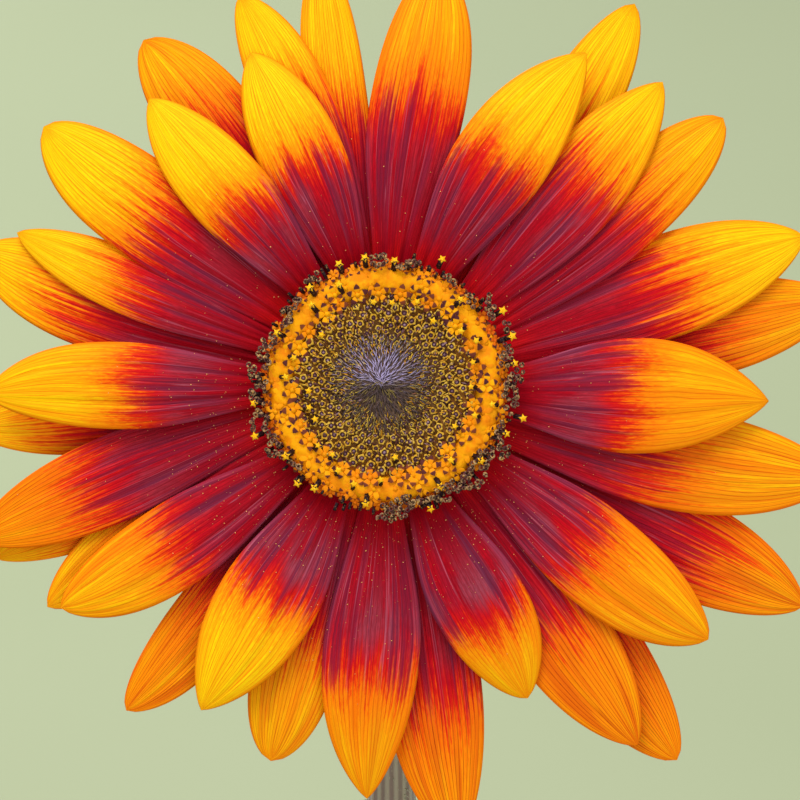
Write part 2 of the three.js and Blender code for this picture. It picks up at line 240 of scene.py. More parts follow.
class Mark:
    """One value of a finish. Plain arithmetic on it adds the Math nodes."""

    def __init__(self, finish, socket):
        self.finish = finish
        self.socket = socket

    def math(self, operation, *values):
        return self.finish.node("ShaderNodeMath", {"operation": operation}, dict(enumerate(values)))

    def __add__(self, other):
        return self.math("ADD", self, other)

    def __radd__(self, other):
        return self.math("ADD", other, self)

    def __sub__(self, other):
        return self.math("SUBTRACT", self, other)

    def __rsub__(self, other):
        return self.math("SUBTRACT", other, self)

    def __mul__(self, other):
        return self.math("MULTIPLY", self, other)

    def __rmul__(self, other):
        return self.math("MULTIPLY", other, self)

    def __pow__(self, other):
        return self.math("POWER", self, other)

    def __abs__(self):
        return self.math("ABSOLUTE", self)

    def sine(self):
        return self.math("SINE", self)

    def fraction(self):
        return self.math("FRACT", self)

    def step(self, low, high):
        """A soft step from 0 at low to 1 at high."""
        sockets = {0: self, 1: low, 2: high, 3: 0, 4: 1}
        return self.finish.node("ShaderNodeMapRange", {"interpolation_type": "SMOOTHSTEP"}, sockets)

    def part(self, axis):
        return self.finish.node("ShaderNodeSeparateXYZ", {}, {0: self}, "XYZ".index(axis))


class Finish:
    """A material whose nodes are written as expressions. A plain colour is its red, green and blue."""

    def __init__(self, name):
        self.material = bpy.data.materials.new(name)
        self.material.use_nodes = True
        self.nodes = self.material.node_tree.nodes
        self.links = self.material.node_tree.links
        self.nodes.clear()

    def node(self, kind, settings, sockets, output=0):
        """Adds a node: its settings first, then the values or links of its sockets."""
        made = self.nodes.new(kind)
        for name, value in settings.items():
            setattr(made, name, value)
        for name, value in sockets.items():
            if isinstance(value, Mark):
                self.links.new(value.socket, made.inputs[name])
            else:
                made.inputs[name].default_value = value
        return Mark(self, made.outputs[output]) if len(made.outputs) else None

    def ramp(self, value, stops):
        """A colour from stops, each of them a place with its red, green and blue."""
        made = self.node("ShaderNodeValToRGB", {}, {0: value})
        elements = made.socket.node.color_ramp.elements
        elements[0].position = stops[0][0]
        elements[1].position = stops[-1][0]
        for place, *_ in stops[1:-1]:
            elements.new(place)
        for element, (_, *colour) in zip(elements, stops):
            element.color = paint(*colour)
        return made

    def mix(self, first, second, share):
        sockets = {0: share}
        for socket, colour in ((6, first), (7, second)):
            sockets[socket] = colour if isinstance(colour, Mark) else paint(*colour)
        return self.node("ShaderNodeMix", {"data_type": "RGBA"}, sockets, 2)

    def lay(self, colour, *coats):
        """A colour under coats, each of them a colour and its share."""
        for coat, share in coats:
            colour = self.mix(colour, coat, share)
        return colour

    def vector(self, x, y, z):
        return self.node("ShaderNodeCombineXYZ", {}, {0: x, 1: y, 2: z})

    def noise(self, place, scale, detail, roughness):
        sockets = {"Vector": place, "Scale": scale, "Detail": detail, "Roughness": roughness}
        return self.node("ShaderNodeTexNoise", {}, sockets)

    def grain(self, scale, detail, roughness):
        """Noise through the whole plant."""
        return self.noise(self.place(), scale, detail, roughness)

    def cells(self, scale, feature):
        sockets = {"Vector": self.place(), "Scale": scale}
        return self.node("ShaderNodeTexVoronoi", {"feature": feature}, sockets)

    def attribute(self, name):
        return self.node("ShaderNodeAttribute", {"attribute_name": name}, {}, 2)

    def place(self):
        """The point's place on the plant, in metres."""
        return self.node("ShaderNodeTexCoord", {}, {}, 3)

    def map(self):
        """The point's place on the piece's own map."""
        return self.node("ShaderNodeUVMap", {"uv_map": "UVMap"}, {})

    def surface(self, colour, roughness, specular=0.5, relief=None, depth=0.0, strength=1.0, sheen=0.0):
        """Ends the finish in its shader. The relief, if any, is raised by depth in metres."""
        sockets = {"Base Color": colour, "Roughness": roughness}
        sockets.update({"Specular IOR Level": specular, "Sheen Weight": sheen})
        if relief is not None:
            raised = {"Height": relief, "Distance": depth, "Strength": strength}
            sockets["Normal"] = self.node("ShaderNodeBump", {}, raised)
        shader = self.node("ShaderNodeBsdfPrincipled", {}, sockets)
        self.node("ShaderNodeOutputMaterial", {}, {0: shader})
        return self.material


def petal_marks(finish):
    """Where a point is on its petal: across from -1 to 1, and along from the root to the tip. Then the
    streaks and veins there, and the function that makes streaks."""
    on_map = finish.map()
    along = on_map.part("Y")
    across = on_map.part("X") * 2 - 1
    seed = finish.attribute("seed")

    def streaked(wide, long, aside, apart, detail, roughness):
        """Noise that is wide and long times as fine as the map, and different on each petal."""
        place = finish.vector(across * wide + seed * aside, along * long, seed * apart)
        return finish.noise(place, 1, detail, roughness)

    fine = streaked(17, 1.7, 31, 9, 3, 0.6)
    broad = streaked(3.2, 2.2, 47, 5, 2, 0.5)
    wander = streaked(2.5, 5, 0, 13, 1, 0.5)
    lines = (across * 33 + (wander - 0.5) * 3.4 + seed * 6).sine()
    veins = 1 - abs(lines).step(0.06, 0.52)
    return across, along, fine, broad, veins, streaked


def petal_face():
    """The front of a petal: crimson with dusky plum, a painted lilac reflection of the sky and painted shade
    and highlights along its creases, then scarlet, orange and gold. The petals that lie behind have longer
    streaks and rust red veins."""
    finish = Finish("petal_face")
    across, along, fine, broad, veins, streaked = petal_marks(finish)
    names = ("turn", "level", "crease", "seed", "gold")
    turn, level, crease, seed, gold = map(finish.attribute, names)
    side = abs(across)
    back = 1 - level
    fibres = streaked(40, 3.2, 19, 3, 2, 0.55)
    clouds = streaked(1.5, 2.4, 23, 17, 3, 0.6)
    dashes = streaked(34, 34, 11, 7, 2, 0.6)
    folds = streaked(5.6, 0.8, 61, 29, 1, 0.5)
    dash = dashes.step(0.38, 0.62)

    streaks = (fine - 0.5) * (back * 0.36 + 0.24) + (broad - 0.5) * 0.26 + (fibres - 0.5) * 0.16
    reached = along - turn + streaks + side**3 * 0.05 + (dashes - 0.5) * 0.2
    stretched = reached * (1.25 - back * 0.25)
    stops = [
        (0.0, 166, 0, 22), (0.24, 170, 0, 24), (0.34, 188, 0, 22), (0.42, 202, 18, 14), (0.48, 220, 52, 6),
        (0.54, 238, 94, 0), (0.6, 247, 124, 0), (0.68, 249, 138, 0), (1.0, 250, 144, 0),
    ]
    colour = finish.ramp(0.5 + stretched, stops)
    yellow = gold + (clouds - 0.5) * 0.6 + (folds - 0.5) * 1.1 + (broad - 0.5) * 0.4
    yellow = stretched.step(0.0, 0.28) * yellow.step(-0.05, 1.05)
    glow = (1 - along.step(0.04, 0.2)) * clouds.step(0.4, 0.6)
    colour = finish.lay(colour, ((255, 212, 4), yellow), ((220, 12, 8), glow * 0.75))

    # Painted reflection of the sky: the lower petals, which face up, get more of the plum dusk, which is
    # otherwise their own colour, and more of the painted lilac sheen.
    low = 1 - finish.place().part("Z").step(0.385, 0.45)
    in_red = 1 - (along - turn + streaks * 0.6).step(-0.2, -0.06)
    in_gold = reached.step(0.0, 0.12)
    off_root = along.step(0.05, 0.24) * in_red
    dusk = (clouds + level * 0.1 + (fine - 0.5) * 0.3).step(0.42, 0.64) * off_root
    near_turn = (along - turn).step(-0.42, -0.1)
    # The lilac is a painted sheen of the sky on the crimson, strongest on the front petals and the low ones.
    lilac = dusk * near_turn * (fibres * 0.6 + clouds).step(0.66, 0.94) * (level * 0.8 + low * 0.3)
    lit_edge = (side + (broad - 0.5) * 0.2).step(0.8, 0.95) * off_root
    colour = finish.lay(
        colour,
        ((108, 8, 36), dusk * (0.12 + level * 0.2 + low * 0.14)),
        ((150, 78, 98), lilac * 0.62),
        ((104, 0, 16), (1 - dash) * in_red * 0.3),
        ((204, 10, 30), dashes.step(0.58, 0.72) * in_red * 0.25),
        ((142, 56, 84), lit_edge * (0.1 + level * 0.5)),
    )

    right = across.step(-0.01, 0.01)
    strength = (seed * 7.3).fraction() * (1 - right) + (seed * 3.7 + 0.3).fraction() * right
    uneven = fibres.step(0.35, 0.6)
    from_crease = side - crease + (broad - 0.5) * 0.1
    # Along each crease: a plum shade painted in the crease, and a pale highlight painted on the ridge beside
    # it.
    fold = from_crease.step(-0.035, 0.0) * (1 - from_crease.step(0.03, 0.2))
    painted_ridge_highlight = 1 - abs(from_crease + 0.03).step(0.0, 0.03)
    trailing = along.step(0.08, 0.3) * (1 - (along - turn + streaks * 0.3).step(-0.08, 0.06))
    # Across the fold lines: painted shade in each line, with a thin painted highlight just before it.
    pleat = folds + (fibres - 0.5) * 0.1
    shadowed = pleat.step(0.55, 0.59) * (1 - pleat.step(0.6, 0.76) * 0.8) * trailing
    painted_fold_highlight = (1 - abs(folds - 0.545).step(0.0, 0.018)) * trailing * uneven
    colour = finish.lay(
        colour,
        ((96, 32, 64), fold * off_root * (0.1 + strength * 0.5)),
        ((190, 96, 122), painted_ridge_highlight * off_root * uneven * (0.7 - strength * 0.5)),
        ((92, 26, 56), shadowed * (0.34 + level * 0.36)),
        ((176, 92, 116), painted_fold_highlight * (0.25 + level * 0.4)),
    )

    rust = (1.12 - gold) * (0.38 + back * 0.62)
    broken = (fibres + broad * 0.4).step(0.5, 0.8)
    rusty = (broad + (fine - 0.5) * 0.8).step(0.44, 0.64) * in_gold * rust
    rust_line = finish.mix((222, 88, 0), (134, 16, 0), rust * 1.1)
    vein_colour = finish.mix((112, 0, 14), rust_line, in_gold)
    vein_share = veins * (0.46 + in_gold * 0.22 + rust * 0.5) * (0.5 + broken * 0.5) * (0.55 + dash * 0.45)
    outline = side.step(0.86, 1.0) * 0.5 + side.step(0.5, 1.0) * 0.2 + along.step(0.95, 1.0) * 0.3
    colour = finish.lay(
        colour,
        ((202, 54, 0), rusty * 0.9),
        ((228, 104, 0), (1 - dash) * in_gold * 0.2),
        (vein_colour, vein_share * (1 - side.step(0.9, 1) * 0.7)),
        ((244, 112, 0), fibres.step(0.48, 0.62) * in_gold * (0.26 + dash * 0.34)),
        ((255, 212, 16), (1 - fibres.step(0.3, 0.45)) * yellow * 0.5),
        ((238, 108, 0), outline * in_gold),
    )
    relief = fine * 0.3 + fibres * 0.2 + dashes * 0.1 + folds * 1.1 - veins * (back * 0.12 + 0.1)
    return finish.surface(colour, 0.5 + fine * 0.16, 0.07, relief, 0.00022, 0.6)


def petal_root():
    """The ring where the petals' roots are joined: dark crimson, mottled."""
    finish = Finish("petal_root")
    mottle = finish.grain(500, 3, 0.6)
    colour = finish.mix((96, 2, 14), (150, 6, 20), mottle.step(0.35, 0.65))
    return finish.surface(colour, 0.6 + mottle * 0.2, 0.1)


def petal_underside():
    """The back of a petal: duller yellow with the red showing through as a blush, and pale raised veins."""
    finish = Finish("petal_underside")
    _, along, fine, broad, veins, _ = petal_marks(finish)
    reached = along - finish.attribute("turn") + (fine - 0.5) * 0.3 + (broad - 0.5) * 0.3
    stops = [
        (0.0, 132, 66, 40), (0.35, 168, 62, 36), (0.55, 206, 112, 38), (0.8, 222, 160, 44),
        (1.0, 228, 178, 60),
    ]
    near_root = 1 - along.step(0.0, 0.22)
    colour = finish.ramp(0.5 + reached, stops)
    colour = finish.lay(colour, ((206, 176, 96), veins * 0.35), ((120, 118, 58), near_root * 0.7))
    return finish.surface(colour, 0.62 + fine * 0.12, 0.25, veins, 0.0003, 0.7, 0.1)


def green_skin(name, dark, light, vein_colour):
    """Green tissue on a piece without a map: mottled, with specks of a third shade and a downy sheen."""
    finish = Finish(name)
    mottle = finish.grain(90, 4, 0.6)
    grain = finish.grain(900, 2, 0.5)
    specks = grain.step(0.58, 0.78) * 0.4
    colour = finish.lay(dark, (light, mottle.step(0.34, 0.68)), (vein_colour, specks))
    return finish.surface(colour, 0.58 + mottle * 0.16, 0.3, grain + mottle, 0.00025, 0.7, 0.2)


def stem_skin():
    """The stem: dull green with a purplish brown flush, fine ribs along it and paler pores."""
    finish = Finish("stem_skin")
    around = finish.map().part("X")
    along = finish.map().part("Y")
    flush = finish.noise(finish.vector(around * 3, along * 4, 0), 1, 3, 0.6)
    ribs = (around * (2 * math.pi * 17) + (flush - 0.5) * 2.6).sine() * 0.5 + 0.5
    pores = finish.noise(finish.vector(around * 90, along * 260, 3), 1, 1, 0.5)
    high = (along + (flush - 0.5) * 0.3).step(0.45, 0.75)
    mauve = finish.mix((144, 118, 118), (194, 182, 168), ribs.step(0.1, 0.9) * 0.6)
    colour = finish.lay(
        (96, 108, 52),
        ((132, 140, 76), ribs),
        ((104, 70, 58), flush.step(0.42, 0.66) * 0.6),
        (mauve, high * 0.8),
        ((186, 182, 146), pores.step(0.66, 0.78) * 0.7),
    )
    return finish.surface(colour, 0.56 + flush * 0.2, 0.3, ribs * 0.7 + pores * 0.4, 0.0004, 0.7, 0.25)


def leaf_face(name, dark, light, vein_colour):
    """A leaf: its veins run in pairs from the midrib to the teeth, with a net of small ones between."""
    finish = Finish(name)
    side = abs(finish.map().part("X") * 2 - 1)
    mottle = finish.grain(55, 4, 0.62)
    grain = finish.grain(700, 2, 0.55)
    branch = abs(finish.attribute("slant").fraction() - 0.5)
    branches = (1 - branch.step(0.015, 0.075)) * (1 - side.step(0.8, 1.0))
    midrib = 1 - side.step(0.008, 0.045)
    fine_net = 1 - finish.cells(420, "DISTANCE_TO_EDGE").step(0.02, 0.12)
    colour = finish.lay(
        dark,
        (light, mottle.step(0.36, 0.66)),
        (light, branch.step(0.02, 0.3) * -0.35 + 0.35),
        (vein_colour, fine_net * 0.22),
        (vein_colour, branches * 0.7),
        (vein_colour, midrib * 0.9),
        ((150, 142, 66), side.step(0.93, 1.0) * mottle * 0.6),
    )
    relief = grain * 0.35 - fine_net * 0.6 - branches * 0.9
    return finish.surface(colour, 0.5 + mottle * 0.2, 0.35, relief, 0.0005, 0.7, 0.12)


def hair_skin():
    """Stiff pale hairs, clearer towards their tips."""
    finish = Finish("pale_hairs")
    colour = finish.mix((150, 152, 110), (226, 226, 206), finish.attribute("tip"))
    return finish.surface(colour, 0.45, 0.4)


def clay_finish():
    """Fired clay: a mottled orange brown with fine throwing lines, and pale bloom low down and on the rim."""
    finish = Finish("fired_clay")
    height = finish.place().part("Z")
    mottle = finish.grain(26, 5, 0.6)
    grain = finish.grain(1100, 3, 0.6)
    cloud = finish.grain(60, 4, 0.7)
    lines = (height * 5200 + mottle * 9).sine() * 0.5 + 0.5
    low_bloom = (1 - height.step(0.0, 0.045)) * cloud.step(0.38, 0.66)
    rim_bloom = height.step(0.112, 0.128) * cloud.step(0.5, 0.75)
    damp = height.step(0.03, 0.07) * (1 - height.step(0.085, 0.094))
    colour = finish.lay(
        (168, 88, 52),
        ((202, 122, 82), mottle.step(0.3, 0.7)),
        ((146, 74, 44), grain.step(0.52, 0.72) * 0.5),
        ((216, 188, 164), low_bloom * 0.55 + rim_bloom * 0.45),
        ((140, 72, 42), damp * cloud.step(0.42, 0.7) * 0.4),
    )
    return finish.surface(colour, 0.8 + grain * 0.15, 0.25, grain + lines * 0.25, 0.00035, 0.8)


def soil_finish(name, dark, light):
    """Damp potting soil: near black crumbs with brown fibres and pale grit."""
    finish = Finish(name)
    crumb = finish.grain(420, 5, 0.7)
    grit = finish.cells(900, "F1")
    colour = finish.lay(
        dark,
        (light, crumb.step(0.38, 0.7)),
        ((98, 74, 50), finish.grain(70, 3, 0.6).step(0.52, 0.7) * 0.4),
        ((168, 152, 126), (1 - grit.step(0.06, 0.14)) * 0.35),
    )
    return finish.surface(colour, 0.88 + crumb * 0.1, 0.2, crumb, 0.0012, 0.9)


def dome_finish():
    """The disc's own surface between the florets: lilac grey in the middle, then umber, gold and plum."""
    finish = Finish("disc_dome")
    fleck = finish.grain(1300, 3, 0.6)
    stops = [
        (0.0, 92, 74, 80), (0.3, 112, 84, 56), (0.62, 156, 98, 32), (0.72, 196, 108, 12),
        (0.88, 206, 112, 8), (0.93, 96, 44, 20), (1.0, 60, 20, 22),
    ]
    colour = finish.ramp(finish.attribute("share") + (fleck - 0.5) * 0.06, stops)
    colour = finish.mix(colour, (84, 46, 34), fleck.step(0.5, 0.7) * 0.5)
    return finish.surface(colour, 0.75 + fleck * 0.15, 0.2, fleck, 0.0004, 0.8)


def bristle_finish():
    """The bristles in the disc's middle: dark at the foot and a downy lilac grey at the tip, paler on the
    upper side as painted light.
    """
    finish = Finish("disc_bristles")
    tip, shade, seed = map(finish.attribute, ("tip", "shade", "seed"))
    fleck = finish.grain(2200, 2, 0.5)
    # Painted light: shade is high on the lit upper side, where the tips are pale lilac, and low below, where
    # they are dark.
    pale = finish.mix((94, 76, 78), (184, 168, 212), shade)
    foot = finish.mix((34, 24, 26), (74, 60, 46), fleck)
    flecked = seed.step(0.66, 0.74) * tip.step(0.3, 0.5) * (1 - shade * 0.8)
    colour = finish.lay(foot, (pale, tip.step(0.1, 0.7)), ((158, 136, 60), flecked * 0.7))
    return finish.surface(colour, 0.6 + fleck * 0.2, 0.15)


def scale_finish():
    """The scales between the closed florets: plum brown, olive yellow and a few lilac."""
    finish = Finish("disc_scales")
    tip, seed = map(finish.attribute, ("tip", "seed"))
    fleck = finish.grain(2200, 2, 0.5)
    colour = finish.lay(
        (72, 40, 46),
        ((128, 78, 72), seed.step(0.1, 0.36)),
        ((200, 140, 34), seed.step(0.38, 0.46)),
        ((228, 188, 72), seed.step(0.7, 0.78)),
        ((150, 116, 130), seed.step(0.88, 0.94)),
    )
    colour = finish.mix((98, 60, 26), colour, tip.step(0.0, 0.5))
    return finish.surface(colour, 0.6 + fleck * 0.2, 0.15)


def band_finish():
    """The golden sheet of merged open florets: warm gold with faint orange seams."""
    finish = Finish("golden_band")
    fleck = finish.grain(1200, 3, 0.55)
    broad = finish.grain(420, 2, 0.5)
    seams = fleck.step(0.54, 0.74) * 0.6
    colour = finish.lay((236, 134, 0), ((248, 164, 2), broad.step(0.35, 0.6)), ((228, 112, 2), seams))
    return finish.surface(colour, 0.55 + fleck * 0.15, 0.1, fleck * 0.4 + broad, 0.0004, 0.8)


def bud_finish():
    """A closed floret: an olive yellow lip with flecks of painted highlight, round a dark hollow with a
    purple knob in it, on some knobs paler lilac as a painted highlight.
    """
    finish = Finish("closed_florets")
    rim, knob, young, seed = map(finish.attribute, ("rim", "knob", "young", "seed"))
    fleck = finish.grain(1900, 2, 0.6)
    patchy = finish.grain(760, 1, 0.5)
    # Painted highlights: brighter flecks on the lip.
    bright = (fleck + seed * 0.25).step(0.55, 0.75)
    lip = finish.lay((210, 158, 34), ((158, 132, 56), young), ((220, 182, 74), bright * 0.6))
    hollow = finish.mix((76, 36, 42), (84, 56, 46), young)
    # The knob is its own dark purple, and on some a paler lilac painted as a highlight.
    purple = finish.mix((96, 60, 78), (154, 124, 148), seed)
    uneven = rim + (fleck - 0.5) * 0.9 + (patchy - 0.5) * 1.1
    colour = finish.lay(hollow, (lip, uneven.step(0.42, 0.8)), (purple, knob.step(0.35, 0.95)))
    return finish.surface(colour, 0.5 + fleck * 0.2, 0.2, fleck, 0.0002, 0.7)


def corolla_finish():
    """An open floret's lobes: warm gold, with a pointed umber tip on those that stand free."""
    finish = Finish("open_florets")
    names = ("tip", "ripe", "seed", "dark_from")
    tip, ripe, seed, dark_from = map(finish.attribute, names)
    fleck = finish.grain(1500, 2, 0.5)
    umber = finish.mix((122, 58, 34), (76, 32, 40), seed)
    colour = finish.lay(
        (240, 140, 2),
        ((252, 172, 4), seed),
        ((214, 74, 12), ripe * 0.85),
        ((232, 136, 4), fleck.step(0.55, 0.75) * 0.4),
        (umber, (tip - dark_from).step(-0.05, 0.1)),
    )
    return finish.surface(colour, 0.55 + fleck * 0.15, 0.1, fleck, 0.00012, 0.6)


def tube_finish():
    """The dark tubes of joined anthers: near black with a brown lustre and pale dust."""
    finish = Finish("anther_tubes")
    fleck = finish.grain(2600, 3, 0.6)
    dust = (fleck + finish.attribute("tip") * 0.15).step(0.68, 0.78) * 0.5
    colour = finish.lay((20, 7, 14), ((62, 28, 36), fleck.step(0.4, 0.7)), ((190, 140, 50), dust))
    return finish.surface(colour, 0.42 + fleck * 0.2, 0.2, fleck, 0.00015, 0.7)


def star_finish():
    """The pollen-laden stars at the tubes' ends: bright yellow grains."""
    finish = Finish("pollen_stars")
    grain = finish.grain(3600, 2, 0.6)
    colour = finish.mix((250, 168, 2), (255, 210, 44), grain.step(0.35, 0.7))
    return finish.surface(colour, 0.7 + grain * 0.1, 0.1, grain, 0.0002, 0.9)


def stigma_finish():
    """The curled stigmas: grey brown with a plum cast, dusted with yellow pollen."""
    finish = Finish("stigmas")
    fleck = finish.grain(1700, 3, 0.6)
    colour = finish.lay(
        (46, 20, 22),
        ((182, 142, 98), fleck.step(0.42, 0.6)),
        ((96, 42, 54), finish.grain(700, 2, 0.5).step(0.48, 0.58) * 0.6),
        ((234, 182, 76), fleck.step(0.62, 0.68) * 0.85),
    )
    return finish.surface(colour, 0.7 + fleck * 0.15, 0.25, fleck, 0.0004, 0.9)


def pollen_finish():
    """Loose pollen on the petals."""
    finish = Finish("loose_pollen")
    grain = finish.grain(4000, 1, 0.5)
    return finish.surface(finish.mix((236, 150, 60), (252, 208, 130), grain), 0.8 + grain * 0.1)


# Ways of making a piece


def spin(work, geometry, degrees, steps, rise=0.0, **settings):
    """Sweeps geometry about Z, up by a rise at each step."""
    settings.update({"cent": (0, 0, 0), "axis": (0, 0, 1), "dvec": (0, 0, rise)})
    bmesh.ops.spin(work, geom=geometry, angle=math.radians(degrees), steps=steps, **settings)


def pattern(work, name="pattern"):
    """The finished mesh of a piece, or of a small shape that is repeated."""
    mesh = bpy.data.meshes.new(name)
    work.to_mesh(mesh)
    work.free()
    return mesh


def shown(name, shape):
    """An object in the scene."""
    made = bpy.data.objects.new(name, shape)
    bpy.context.scene.collection.objects.link(made)
    return made


def finished(work, name, material, place=None, stands_for=(), turn_out=False):
    """A piece in its place, in metres, riding on the plant's one body."""
    if turn_out:
        bmesh.ops.recalc_face_normals(work, faces=work.faces)
    if place is not None:
        bmesh.ops.transform(work, matrix=place, verts=work.verts)
    bmesh.ops.scale(work, vec=(METRES,) * 3, verts=work.verts)
    for face in work.faces:
        face.smooth = True
    piece = shown(name, pattern(work, name))
    piece.data.materials.append(material)
    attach(piece, "root")
    if stands_for:
        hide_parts(*stands_for)
    return piece


def add_thickness(piece, millimetres, back_material):
    """Thickens a sheet away from its upper face."""
    piece.data.materials.append(back_material)
    wall = piece.modifiers.new("thickness", "SOLIDIFY")
    wall.thickness = millimetres * METRES
    wall.offset = -1
    wall.material_offset = 1
    wall.material_offset_rim = 0


def sheet(columns, rows, spot, marks=None):
    """A mapped grid whose points are moved: spot(across, along) gives a point, across from -1 to 1.
    marks are values that its finish reads, each a number for the whole sheet or a function like spot."""
    work = bmesh.new()
    work.loops.layers.uv.new("UVMap")
    bmesh.ops.create_grid(work, x_segments=columns, y_segments=rows, size=1, calc_uvs=True)
    layers = [(work.verts.layers.float.new(name), value) for name, value in (marks or {}).items()]
    for vertex in work.verts:
        across, along = vertex.co.x, (vertex.co.y + 1) / 2
        for layer, value in layers:
            vertex[layer] = value(across, along) if callable(value) else value
        vertex.co = spot(across, along)
    bmesh.ops.remove_doubles(work, verts=work.verts, dist=1e-4)
    bmesh.ops.dissolve_degenerate(work, edges=work.edges, dist=1e-5)
    bmesh.ops.reverse_faces(work, faces=work.faces)
    return work


def turned(profile, steps, mark=None):
    """A profile of (radius, height) points spun about Z and closed. mark names a value that its finish
    reads, given as a third number of each point."""
    work = bmesh.new()
    layer = work.verts.layers.float.new(mark) if mark else None
    corners = []
    for point in profile:
        corner = work.verts.new((point[0], 0, point[1]))
        if mark:
            corner[layer] = point[2]
        corners.append(corner)
    edges = [work.edges.new(pair) for pair in zip(corners, corners[1:])]
    spin(work, corners + edges, 360, steps, use_merge=True)
    bmesh.ops.remove_doubles(work, verts=work.verts, dist=1e-4)
    bmesh.ops.recalc_face_normals(work, faces=work.faces)
    return work


def rod(places, radii, sides, ripple, ribs):
    """A mapped tube through places, extruded ring by ring from a circle and closed at both ends. Its side
    ripples into ribs."""
    work = bmesh.new()
    uv = work.loops.layers.uv.new("UVMap")
    ring = bmesh.ops.create_circle(work, cap_ends=True, segments=sides, radius=1)["verts"]
    rings = [ring]
    edges = list(work.edges)
    for _ in places[1:]:
        grown = bmesh.ops.extrude_edge_only(work, edges=edges)["geom"]
        edges = [item for item in grown if isinstance(item, bmesh.types.BMEdge)]
        ring = [item for item in grown if isinstance(item, bmesh.types.BMVert)]
        edges = [edge for edge in edges if all(vertex in set(ring) for vertex in edge.verts)]
        rings.append(ring)
    bmesh.ops.edgeloop_fill(work, edges=edges)
    aside = Vector((1, 0, 0))
    shares = {}
    for number, (ring, place) in enumerate(zip(rings, places)):
        before = places[max(0, number - 1)]
        after = places[min(len(places) - 1, number + 1)]
        ahead = (after - before).normalized()
        aside = (aside - ahead * aside.dot(ahead)).normalized()
        over = ahead.cross(aside)
        for vertex in ring:
            turn = math.atan2(vertex.co.y, vertex.co.x)
            radius = radii[number] * (1 + ripple * math.cos(ribs * turn))
            shares[vertex] = (turn / (2 * math.pi) % 1, number / (len(places) - 1))
            vertex.co = place + (aside * math.cos(turn) + over * math.sin(turn)) * radius
    for face in work.faces:
        around = [shares[loop.vert][0] for loop in face.loops]
        wraps = max(around) - min(around) > 0.5
        for loop, value in zip(face.loops, around):
            loop[uv].uv = (value + 1 if wraps and value < 0.5 else value, shares[loop.vert][1])
    bmesh.ops.recalc_face_normals(work, faces=work.faces)
    return work


def repeated(shape, places, marks=()):
    """A small shape at many places in one mesh. Each place is a matrix and a value for each of the marks."""
    work = bmesh.new()
    for place, *values in places:
        start = len(work.verts)
        work.from_mesh(shape)
        work.verts.ensure_lookup_table()
        fresh = work.verts[start:]
        bmesh.ops.transform(work, matrix=place, verts=fresh)
        for name, value in zip(marks, values):
            layer = work.verts.layers.float[name]
            for vertex in fresh:
                vertex[layer] = value
    return work


def with_marks(work, names):
    """Adds the empty values that a repeated shape's places fill in."""
    for name in names:
        work.verts.layers.float.new(name)
    return work


def along_normal(point, direction, size):
    """A matrix that stands a shape's Z on a point, along a direction."""
    stand = direction.to_track_quat("Z", "Y").to_matrix().to_4x4()
    return Matrix.Translation(point) @ stand @ Matrix.Scale(size, 4)


def cone(sides, foot, top, length, sunk=0.0, closed=True, cuts=0):
    """A cone up along Z, with a value that goes from 0 at its foot to 1 at its tip."""
    work = bmesh.new()
    bmesh.ops.create_cone(work, cap_ends=closed, segments=sides, radius1=foot, radius2=top, depth=length)
    if cuts:
        upright = [edge for edge in work.edges if abs(edge.verts[0].co.z - edge.verts[1].co.z) > length / 2]
        bmesh.ops.subdivide_edges(work, edges=upright, cuts=cuts)
    tip = work.verts.layers.float.new("tip")
    for vertex in work.verts:
        vertex[tip] = vertex.co.z / length + 0.5
        vertex.co.z += length / 2 - sunk
    return work


# Petals


def petal_width(along, blunt):
    """Share of a petal's greatest width at a share of its length."""
    widest = 0.5 + 0.06 * blunt
    if along < widest:
        return lerp(0.43, 1, math.sin(math.pi / 2 * along / widest) ** 1.5)
    past = (along - widest) / (1 - widest)
    return max(0, 1 - past ** lerp(1.9, 2.9, blunt)) ** lerp(0.95, 0.55, blunt)


def petal_spot(ray, chance):
    """The function that gives a petal's upper face in the head's frame: it arches forward by its level, its
    edges droop, two creases run along it, and its edges wave a little."""
    root_turn, tip_turn, reach, width, level, _, blunt, _ = ray
    line = (
        polar(PETAL_ROOT, root_turn, -2.6 + 0.75 * level),
        polar((PETAL_ROOT + reach) / 2, lerp(root_turn, tip_turn, 0.35), -1.5 + 3.6 * level),
        polar(reach, tip_turn, -6 + 2.2 * level),
    )
    crease = chance.uniform(0.3, 0.46)
    depths = (chance.uniform(0.2, 0.5), chance.uniform(0.2, 0.5))
    wave = chance.uniform(0, 2 * math.pi)
    twist = chance.uniform(-0.05, 0.05)
    hook = chance.uniform(-0.07, 0.07) * width
    notch = 0.05 * blunt**5

    def spot(across, along):
        place, ahead = bend(line, along - notch * math.exp(-((across / 0.35) ** 2)) * along**10)
        aside = Vector((-ahead.y, ahead.x, 0)).normalized()
        place += aside * hook * (1 - along) * along**3 * 9
        share = petal_width(along, blunt)
        half = width / 2 * share
        fade = 1 - along**3
        groove = sum(
            depth * math.exp(-(((across - at) / 0.1) ** 2))
            for at, depth in ((-crease, depths[0]), (crease, depths[1]))
        )
        middle = 0.22 * math.exp(-((across / 0.12) ** 2)) * fade
        droop = (0.7 + 0.2 * level) * across * across * share
        ripple = 0.22 * across * across * math.sin(9 * along + wave + across) * share
        fine = 0.06 * math.cos(across * 22 + 1.5 * math.sin(3 * along + wave)) * share
        curl = twist * half * across * math.sin(math.pi * along)
        lift = ripple + fine - droop - groove * fade - middle + curl
        return place + aside * (half * across) + Vector((0, 0, lift))

    return spot, crease


